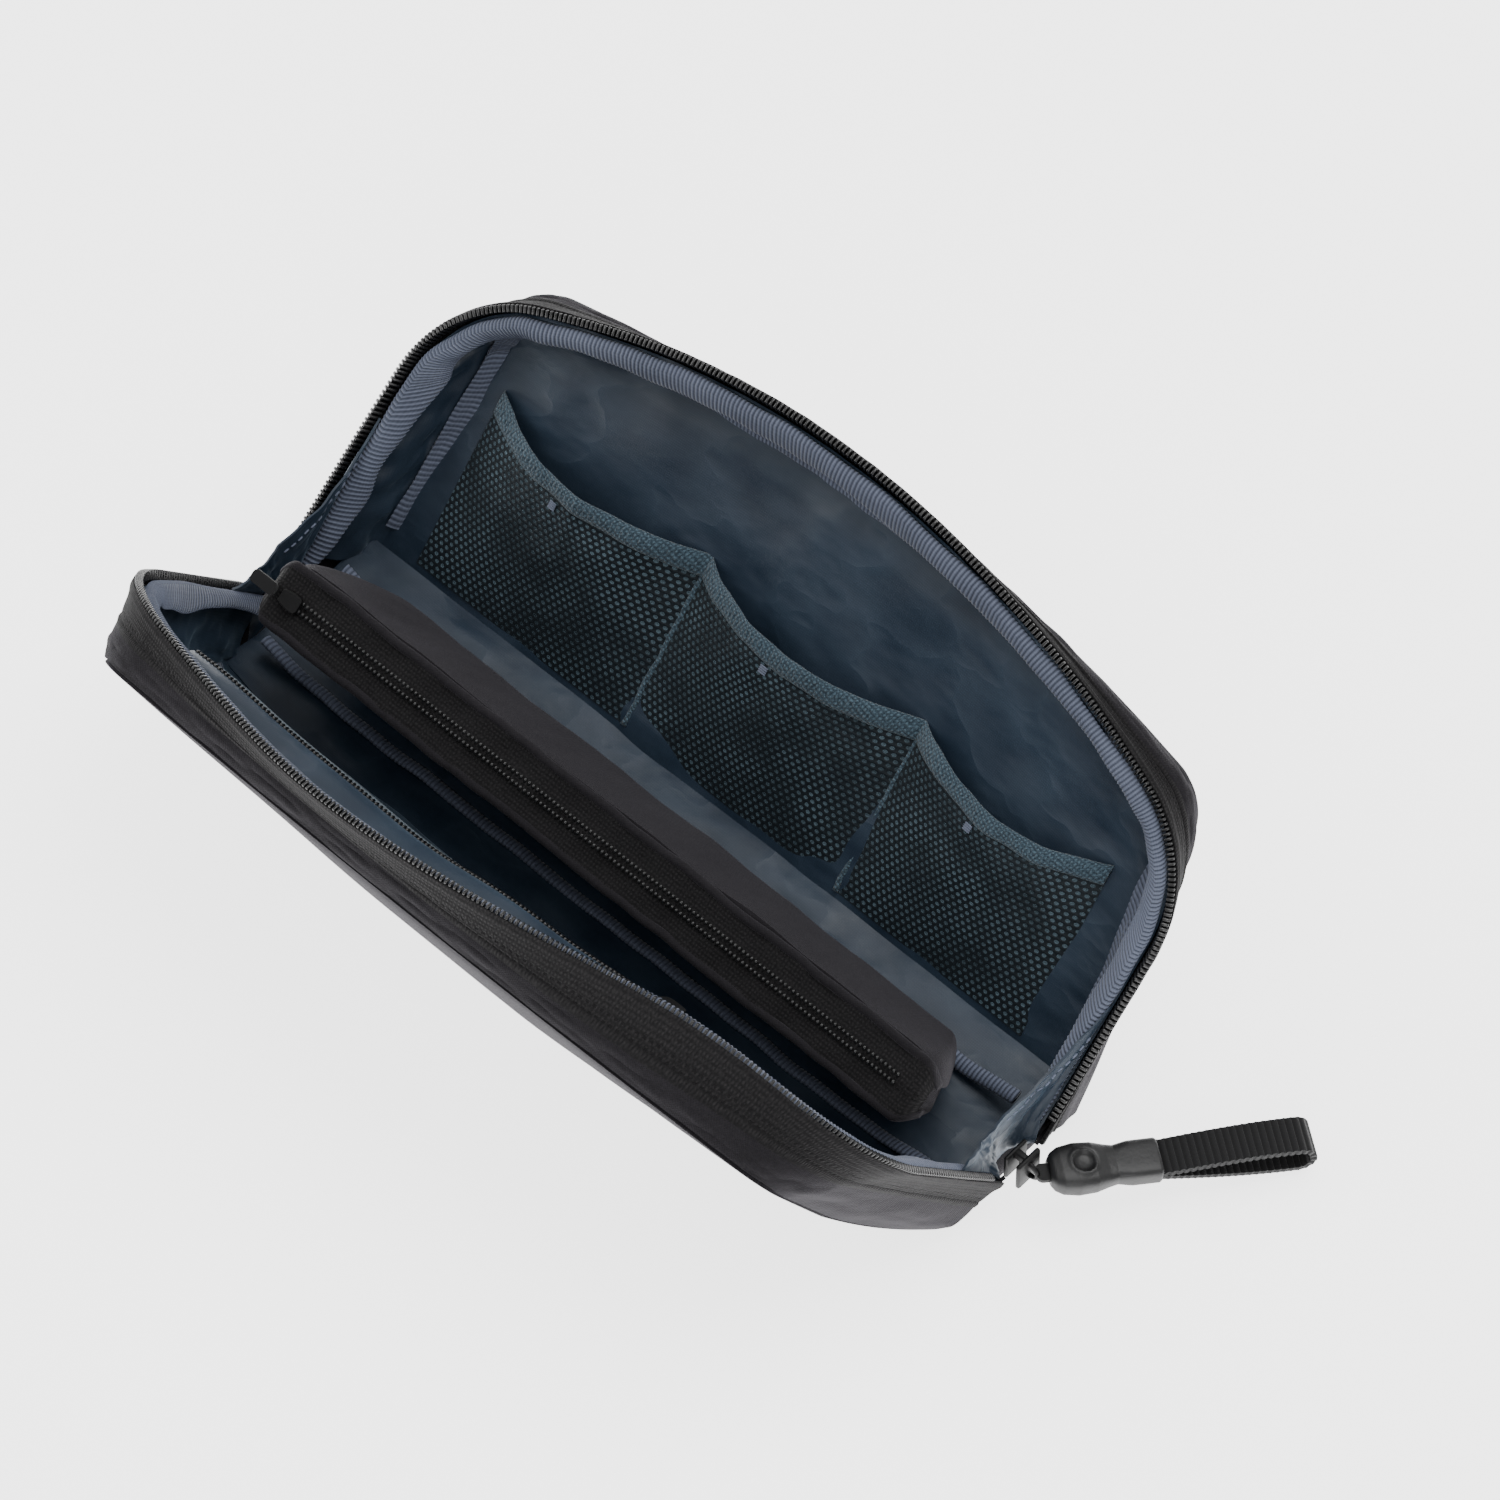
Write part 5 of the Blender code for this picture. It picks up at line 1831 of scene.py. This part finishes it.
        piece = cloth_grid(f"{half.side}_fold_binding", 800, 12, place, (2 * reach, 0.010))
        close_tube(piece)
        self.add(piece, Finish.BINDING)
        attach(piece, "base")

    def gusset(self, side: str, end: int) -> None:
        """One side of the folded gusset: from a half's leg to the fold over the base.

        Args:
            side: "front" or "back".
            end: -1 for the left end, 1 for the right.
        """
        half, s, l = self.halves[side], self.shape, self.layers
        label = end_label(end)
        tall, fold_top = self.gusset_height[(side, end)], self.fold_top[end]
        outer = s.mouth_half - l.lining_inset - 0.0012
        seed = 2.0 + end + (0.7 if side == "front" else 0.0)
        turn = 0.30
        fold = np.array([s.mouth_half - s.taper_bottom + 0.0006, s.fold_y - 0.0003,
                         s.fold_z + 0.0002])

        def place(u: Array, v: Array) -> Array:
            """The gusset from the half's leg (u = 0) to its middle fold (u = 1).

            Args:
                u: Shares along the piece.
                v: Shares across or round the piece.

            Returns:
                Rows of x, y and z.
            """
            low = np.clip(v / turn, 0, 1)[:, None]
            high = np.clip((v - turn) / (1 - turn), 0, 1)
            foot = np.array([s.mouth_half - 0.0012, 0.0012, s.foot_z])
            edge = fold + (foot - fold) * low
            edge[:, 2] += tall * high
            edge[:, 0] -= (s.mouth_half - 0.0012 - outer) * np.clip(high * 6, 0, 1)
            edge[:, 0] *= end
            rim = half.world(edge)
            middle_x = fold[0] - 0.0010 + (outer - 0.0006 - fold[0]) * v
            mid = np.stack([end * middle_x, np.zeros(v.shape),
                            0.0048 + (fold_top - 0.0048) * v], 1)
            share = u[:, None]
            sag = 4 * u * (1 - u)
            point = rim * (1 - share) + mid * share
            point[:, 2] -= (0.0042 if side == "back" else 0.0012) * sag * high
            point[:, 0] -= end * (0.0008 + 0.0006 * ripple(u * 2.5, v * 2.5, seed)) * sag
            return point

        piece = cloth_grid(f"{label}_{side}_gusset", 40, 48, place, (0.03, 0.045),
                           LINING_CLOTH, 0.0)
        nodes = (f"{label}_gusset",) if side == "front" else ()
        self.add(piece, Finish.LINING, *nodes)
        leg = half.world(np.array([[end * outer, 0.0012, s.foot_z + tall * 0.5]]))[0]
        tuple(leg)
        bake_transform(piece)
        if side == "back":
            self.stitches(f"{label}_gusset_stitches", place, half, leg)

    def stitches(self, name: str, place: Callable[[Array, Array], Array], half: Half,
                 leg: Array) -> None:
        """Line of pale stitches below the free edge of a gusset.

        Args:
            name: The piece's name.
            place: Gives the gusset's points.
            half: The half that it is sewn to; not used.
            leg: The place where the gusset leaves the half.
        """
        u = np.linspace(0.06, 0.94, 13)
        line = np.full(u.shape, 0.86)
        at, ahead, above = place(u, line), place(u + 0.01, line), place(u, line + 0.01)
        frames = []
        for spot, forward, up in zip(at, ahead, above):
            x_axis = unit(forward - spot)
            z_axis = unit(np.cross(x_axis, up - spot))
            frames.append((np.stack([x_axis, np.cross(z_axis, x_axis), z_axis], 1), spot))
        thread = small_block((0.0017, 0.0005, 0.0013), 0.0002, 1)
        piece = scatter(name, thread, frames)
        self.add(piece, Finish.BINDING)
        tuple(leg)
        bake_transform(piece)


# ---- centre case
@dataclass
class Case:
    """Padded zip case in the middle of the pouch, leaning forward on its foot."""

    wardrobe: Wardrobe
    length: float = 0.2270
    middle: float = 0.0015
    height: float = 0.0540
    thickness: float = 0.0183
    belly: float = 0.0015
    foot_half: float = 0.0030
    foot_height: float = 0.0160
    corner: float = 0.0040
    foot_draw: float = 0.0200
    lean: float = math.radians(36.0)
    piping_radius: float = 0.00125
    loop_pitch: float = 0.0014
    loop_offset: float = 0.00115

    def __post_init__(self) -> None:
        """Read the foot's place from the frame."""
        joint = next(j for j in frame["joints"] if j["name"] == "case_tilt")
        self.foot = np.array(joint["pos_m"], float)

    def world(self, points: Array) -> Array:
        """Case drawing, upright on its foot, to world.

        Args:
            points: Rows of x, y and z.

        Returns:
            World rows.
        """
        x, y, z = points.T
        c, s = math.cos(self.lean), math.sin(self.lean)
        return np.stack([x, y * c - z * s, y * s + z * c], 1) + self.foot * np.array([0, 1, 1])

    def half_thickness(self, z: Array) -> Array:
        """Half the thickness at a height.

        Args:
            z: Heights above the foot.

        Returns:
            Half thicknesses.
        """
        widen = np.sin(0.5 * math.pi * np.clip(z / self.foot_height, 0, 1))
        belly = self.belly * np.sin(math.pi * np.clip(z / self.height, 0, 1))
        return self.foot_half + (self.thickness / 2 - self.foot_half) * widen + belly

    def build(self) -> None:
        """Build the cover, the top and its piping, zipper and small trims."""
        self.cover()
        self.top()
        self.piping()
        self.coil()
        self.web()

    def cover(self) -> None:
        """Cover: a soft tube of shell fabric round the case, closed at both ends."""
        top, shoulder = self.height - 0.0016, 0.014

        def place(u: Array, v: Array) -> Array:
            """The cover's tube: u along the case, v round it.

            Args:
                u: Shares along the piece.
                v: Shares across or round the piece.

            Returns:
                Rows of x, y and z.
            """
            turn = TURN * v
            lift = np.cos(turn)
            z = top * (0.5 + 0.5 * signed_power(lift, 0.55))
            side = np.sin(turn)
            wide = self.half_thickness(z)
            soft = np.clip(np.abs(side) * 3.2, 0, 1)
            y = np.sign(side) * wide * soft
            share = 2 * u - 1
            reach = self.length / 2 - 0.0002
            draw = (self.corner * np.clip((z - (top - shoulder)) / shoulder, 0, 1) ** 2
                    + self.foot_draw * np.clip(1 - z / (top - 0.006), 0, 1))
            x = signed_power(share, 0.92) * (reach - draw)
            near_end = np.clip((np.abs(share) - 0.93) / 0.07, 0, 1)
            y = y * (1 - 0.62 * near_end ** 2.2)
            dent = (0.0007 * ripple(share * 1.3, z * 9, 1.7)
                    + 0.0002 * ripple(share * 4, z * 22, 4.0))
            y = y + np.sign(side) * dent * soft * (1 - near_end)
            return self.world(np.stack([x + self.middle, y, z], 1))

        piece = cloth_grid("case_cover", 260, 72, place, (self.length, 0.14))
        close_tube(piece)
        self.add(piece, Finish.SHELL, "case_front_panel", "case_back_panel", "case_left_end",
                 "case_right_end", "case_floor", "case_lining")

    def add(self, piece: Any, finish: Finish, *nodes: str) -> None:
        """Fit a piece that rides on the case and stands for these CAD nodes."""
        self.wardrobe.fit(piece, finish, "case", nodes)

    def top(self) -> None:
        """Wide zipper tape on the top, slightly sunk between the pipings."""
        wide = self.thickness / 2 - 0.0016
        reach = self.length / 2 - self.corner * 0.5

        def place(u: Array, v: Array) -> Array:
            """The tape's surface.

            Args:
                u: Shares along the piece.
                v: Shares across or round the piece.

            Returns:
                Rows of x, y and z.
            """
            share = 2 * u - 1
            x = share * reach
            across = (2 * v - 1) * wide
            ends = np.clip((np.abs(share) - 0.97) / 0.03, 0, 1)
            across = across * (1 - 0.45 * ends ** 2)
            sunk = (0.0004 + 0.0005 * np.cos(math.pi * (v - 0.5))
                    - 0.0006 * bump_curve(v, 0.5, 0.16))
            z = self.height - sunk + 0.0005 * ripple(share * 5, v, 2.2) - 0.003 * ends ** 2
            return self.world(np.stack([x + self.middle, across, z], 1))

        piece = cloth_grid("case_top_tape", 300, 20, place, (2 * reach, 2 * wide), 0.0007, -1.0)
        self.add(piece, Finish.TAPE, "case_zip_tape_front", "case_zip_tape_back")
        2 * wide

    def piping(self) -> None:
        """Seam piping along both edges of the top, turned down at the ends."""
        reach = self.length / 2 - self.corner * 0.35
        for label, sign in (("front", -1), ("back", 1)):
            def place(u: Array, v: Array, sign: int = sign) -> Array:
                """A round cord, turned down at its ends.

                Args:
                    u: Shares along the piece.
                    v: Shares across or round the piece.
                    sign: Side of the case.

                Returns:
                    Rows of x, y and z.
                """
                share = 2 * u - 1
                ends = np.clip((np.abs(share) - 0.955) / 0.045, 0, 1)
                angle = TURN * v
                radius = self.piping_radius
                across = sign * (self.thickness / 2 - 0.0009) * (1 - 0.5 * ends ** 2)
                across = across + 0.0004 * ripple(share * 4, share * 0, sign * 2.0)
                z = self.height - 0.0010 - 0.0040 * ends ** 2
                x = share * reach + self.middle
                return self.world(np.stack([x, across + radius * np.cos(angle),
                                            z + radius * np.sin(angle)], 1))

            piece = cloth_grid(f"case_{label}_cord", 220, 10, place, (2 * reach, 0.0078))
            close_tube(piece)
            self.add(piece, Finish.SHELL, f"case_{label}_piping")

    def coil(self) -> None:
        """Two rows of small loops where the hidden coil is sewn through the tape."""
        reach = self.length / 2 - self.corner - 0.004
        step = self.loop_pitch
        count = int(2 * reach / step)
        frames = []
        c, s = math.cos(self.lean), math.sin(self.lean)
        turn = np.array([[1, 0, 0], [0, c, -s], [0, s, c]], float)
        for k in range(count):
            x = -reach + step * k
            for across in (-self.loop_offset, self.loop_offset):
                at = self.world(np.array([[x + self.middle, across, self.height + 0.0001]]))[0]
                frames.append((turn, at))
        loop = small_block((0.0008, 0.0013, 0.0006), 0.00022, 1)
        piece = scatter("case_coil_loops", loop, frames)
        self.add(piece, Finish.TEETH, "case_zip_coil")

    def web(self) -> None:
        """Lining web that ties the case's foot to the base."""
        def place(u: Array, v: Array) -> Array:
            """The web's surface."""
            x = (2 * u - 1) * (self.length / 2 - 0.030)
            z = 0.0010 - 0.0028 * v
            return self.world(np.stack([x + self.middle, 0.0003 * np.sin(x * 300), z], 1))

        piece = cloth_grid("case_foot_web", 60, 3, place, (0.16, 0.003), LINING_CLOTH, 0.0)
        self.add(piece, Finish.LINING, "case_base_web")


# ---- sliders and pulls
class Hardware:
    """Sliders, the rubber grip and the webbing loop."""

    def __init__(self, wardrobe: Wardrobe) -> None:
        """Set up the hardware.

        Args:
            wardrobe: The finishes.
        """
        self.wardrobe = wardrobe
        joints = {j["name"]: j for j in frame["joints"]}
        self.pivot = np.array(joints["main_pull_swing"]["pos_m"], float)
        low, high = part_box("pull_webbing_loop")
        middle = (np.array(low) + np.array(high)) / 2
        flat = middle - self.pivot
        self.heading = math.atan2(flat[1], flat[0])
        self.drop = math.radians(8.0)

    def pull_world(self, points: Array) -> Array:
        """Pull drawing (x along it, y across, z up) to world.

        Args:
            points: Rows of x, y and z.

        Returns:
            World rows.
        """
        c, s = math.cos(self.heading), math.sin(self.heading)
        cd, sd = math.cos(self.drop), math.sin(self.drop)
        x_axis = np.array([c * cd, s * cd, -sd])
        y_axis = np.array([-s, c, 0.0])
        z_axis = np.cross(x_axis, y_axis)
        return points @ np.stack([x_axis, y_axis, z_axis]) + self.pivot

    def build(self) -> None:
        """Build every piece of the main pull and dress the small sliders."""
        self.slider()
        self.grip()
        self.loop()
        for node, finish in (("main_pull_bail", Finish.METAL), ("case_slider", Finish.METAL),
                             ("case_pull_tab", Finish.WEBBING),
                             ("front_pocket_slider", Finish.METAL),
                             ("front_pocket_pull", Finish.RUBBER),
                             ("base_foam_board", Finish.FOAM)):
            self.wardrobe.dress(frame["nodes"][node], finish)

    def slider(self) -> None:
        """Zip slider: two plates, a nose between them and a bridge for the bail."""
        low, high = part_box("main_slider")
        middle = (np.array(low) + np.array(high)) / 2
        plates = []
        for offset, raised, size, bevel in ((0.0006, 0.0, (0.0014, 0.0082, 0.0100), 0.0006),
                                            (-0.0036, 0.0, (0.0012, 0.0078, 0.0092), 0.0005),
                                            (-0.0014, 0.0030, (0.0042, 0.0018, 0.0030), 0.0004)):
            block = small_block(size, bevel, 3)
            block.location = (middle[0] + offset, 0.0, middle[2] + raised)
            plates.append(block)
        deselect()
        bpy.ops.mesh.primitive_torus_add(major_segments=28, minor_segments=10, major_radius=0.0026,
                                         minor_radius=0.0007,
                                         location=(middle[0] + 0.0012, 0.0, middle[2]),
                                         rotation=(math.pi / 2, 0.0, 0.0))
        plates.append(bpy.context.object)
        deselect()
        for block in plates:
            block.select_set(True)
        bpy.context.view_layer.objects.active = plates[0]
        bpy.ops.object.join()
        piece = bpy.context.object
        piece.name = "main_slider_body"
        settle(piece)
        self.wardrobe.fit(piece, Finish.METAL, "main_slider", ("main_slider",))

    def grip(self) -> None:
        """Moulded rubber grip: a round body with a dimple, a neck and a square sleeve."""
        start, length = 0.0035, 0.0283
        dimple_radius, dimple_depth, rim_radius, rim_height = 0.0031, 0.0011, 0.0034, 0.0003
        stations = np.array([0.0, 0.03, 0.10, 0.24, 0.40, 0.52, 0.60, 0.66, 0.74, 0.98, 1.0])
        halves = np.array([3.6, 4.9, 6.1, 6.75, 6.5, 5.6, 5.1, 5.3, 5.6, 5.6, 5.2]) / 1000
        thick = np.array([2.2, 2.9, 3.5, 3.9, 3.7, 3.0, 2.8, 3.0, 3.2, 3.2, 2.9]) / 1000

        def place(u: Array, v: Array) -> Array:
            """The grip's skin: u along it, v round it.

            Args:
                u: Shares along the piece.
                v: Shares across or round the piece.

            Returns:
                Rows of x, y and z.
            """
            share = np.clip(u, 0, 1)
            angle = TURN * v
            wide = np.interp(share, stations, halves)
            tall = np.interp(share, stations, thick)
            power = 0.62 - 0.14 * np.clip((share - 0.6) / 0.1, 0, 1)
            y = wide * signed_power(np.cos(angle), power)
            z = tall * signed_power(np.sin(angle), power)
            x = start + length * share
            centre = start + length * 0.30
            gap = np.sqrt((x - centre) ** 2 + y ** 2)
            dimple = dimple_depth * np.clip(1 - (gap / dimple_radius) ** 4, 0, 1)
            rim = rim_height * bump_curve(gap, rim_radius, 0.0006)
            z = z - np.where(z > 0, dimple - rim, 0.0)
            return self.pull_world(np.stack([x, y, z], 1))

        piece = cloth_grid("rubber_grip", 110, 96, place, (length, 0.03))
        close_tube(piece)
        self.add(piece, Finish.RUBBER, "pull_rubber_grip")

    def loop(self) -> None:
        """Ribbed webbing folded into a loop."""
        start, run, gap, thick = 0.0314, 0.0358, 0.0032, 0.0015
        arc = math.pi * (gap + thick / 2)
        total = 2 * run + arc
        half = 0.0050

        def place(u: Array, v: Array) -> Array:
            """The webbing out, round and back: u along it, v across.

            Args:
                u: Shares along the piece.
                v: Shares across or round the piece.

            Returns:
                Rows of x, y and z.
            """
            travel = u * total
            first = np.clip(travel / run, 0, 1)
            last = np.clip((total - travel) / run, 0, 1)
            turn = np.clip((travel - run) / arc, 0, 1) * math.pi
            spread = np.where(travel < run, first, np.where(travel > run + arc, last, 1.0))
            lift = (gap + thick / 2) * np.sin(0.5 * math.pi * spread) + thick * 0.35 * (1 - spread)
            x = start + run * spread + (gap + thick / 2) * np.sin(turn) * (spread >= 1)
            z = np.where(travel < run, lift, np.where(travel > run + arc, -lift,
                                                      (gap + thick / 2) * np.cos(turn)))
            rib = np.cos(TURN * travel / WEBBING_PITCH)
            y = (2 * v - 1) * (half - 0.00015 * rib)
            away = np.where(travel < run, 1.0, np.where(travel > run + arc, -1.0, np.cos(turn)))
            return self.pull_world(np.stack([x, y, z + 0.00012 * rib * away], 1))

        piece = cloth_grid("webbing_loop", 260, 10, place, (total, 2 * half), thick, 0.0)
        self.add(piece, Finish.WEBBING, "pull_webbing_loop")

    def add(self, piece: Any, finish: Finish, *nodes: str) -> None:
        """Fit a piece that rides on the main pull and stands for these CAD nodes."""
        self.wardrobe.fit(piece, finish, "main_pull", nodes)


# ---- studio
@dataclass
class Studio:
    """Camera, floor and soft light."""

    azimuth: float = 42.7
    elevation: float = 57.8
    distance: float = 2.94
    focal: float = 278.2
    aim_right: float = 0.0287
    aim_up: float = 0.0363

    def build(self) -> None:
        """Build the studio."""
        self.camera()
        self.floor()
        self.lights()

    def camera(self) -> None:
        """A long lens looking down on the open pouch."""
        a, e = math.radians(self.azimuth), math.radians(self.elevation)
        towards = Vector((math.sin(a) * math.cos(e), -math.cos(a) * math.cos(e), math.sin(e)))
        right = Vector((math.cos(a), math.sin(a), 0.0))
        up = towards.cross(right)
        data = bpy.data.cameras.new("camera")
        data.lens = self.focal
        data.sensor_width = 36.0
        data.clip_end = 20.0
        camera = bpy.data.objects.new("camera", data)
        aim = right * self.aim_right + up * self.aim_up
        camera.matrix_world = (Matrix.Translation(aim + towards * self.distance)
                               @ Matrix((right, up, towards)).transposed().to_4x4())
        bpy.context.scene.collection.objects.link(camera)
        bpy.context.scene.camera = camera

    def floor(self) -> None:
        """A plain pale floor."""
        deselect()
        bpy.ops.mesh.primitive_plane_add(size=8.0, location=(0.0, 0.0, -0.0004))
        floor = bpy.context.object
        floor.name = "floor"
        s = Shader("pale_floor")
        s.set(Base_Color=(0.93, 0.93, 0.935), Roughness=0.9, Specular_IOR_Level=0.1)
        s.feed(s.surface.inputs["Emission Color"], (1.0, 1.0, 1.0, 1.0))
        s.feed(s.surface.inputs["Emission Strength"], 2.7)
        floor.data.materials.append(s.material)

    def lights(self) -> None:
        """A broad light overhead, a softer one from each side, and a white surround."""
        world = bpy.data.worlds.new("surround")
        world.use_nodes = True
        world.node_tree.nodes["Background"].inputs[0].default_value = (1.0, 1.0, 1.0, 1.0)
        world.node_tree.nodes["Background"].inputs[1].default_value = 0.62
        bpy.context.scene.world = world
        for name, place, size, power in (("overhead", (0.2, 0.5, 1.6), 1.2, 17.0),
                                         ("left", (-1.3, -0.5, 1.1), 0.9, 8.0),
                                         ("right", (1.2, -0.9, 0.9), 0.8, 6.0)):
            data = bpy.data.lights.new(name, "AREA")
            data.size = size
            data.energy = power
            light = bpy.data.objects.new(name, data)
            light.location = place
            light.rotation_euler = (-Vector(place)).to_track_quat("-Z", "Y").to_euler()
            bpy.context.scene.collection.objects.link(light)


def main() -> None:
    """Build the pouch and its studio."""
    logging.basicConfig(level=logging.INFO, format="%(name)s: %(message)s")
    Studio().build()
    wardrobe = Wardrobe()
    shape = HalfShape()
    layers = Layers()
    halves = {side: Half(side, shape, wardrobe) for side in SIDES}
    for half in halves.values():
        Shell(half, layers).build()
        Inside(half, layers).build()
    BackPocket(halves["back"], layers).build()
    FrontPocket(halves["front"], layers).build()
    Base(halves, layers, wardrobe).build()
    Case(wardrobe).build()
    Hardware(wardrobe).build()


if __name__ == "__main__":
    main()
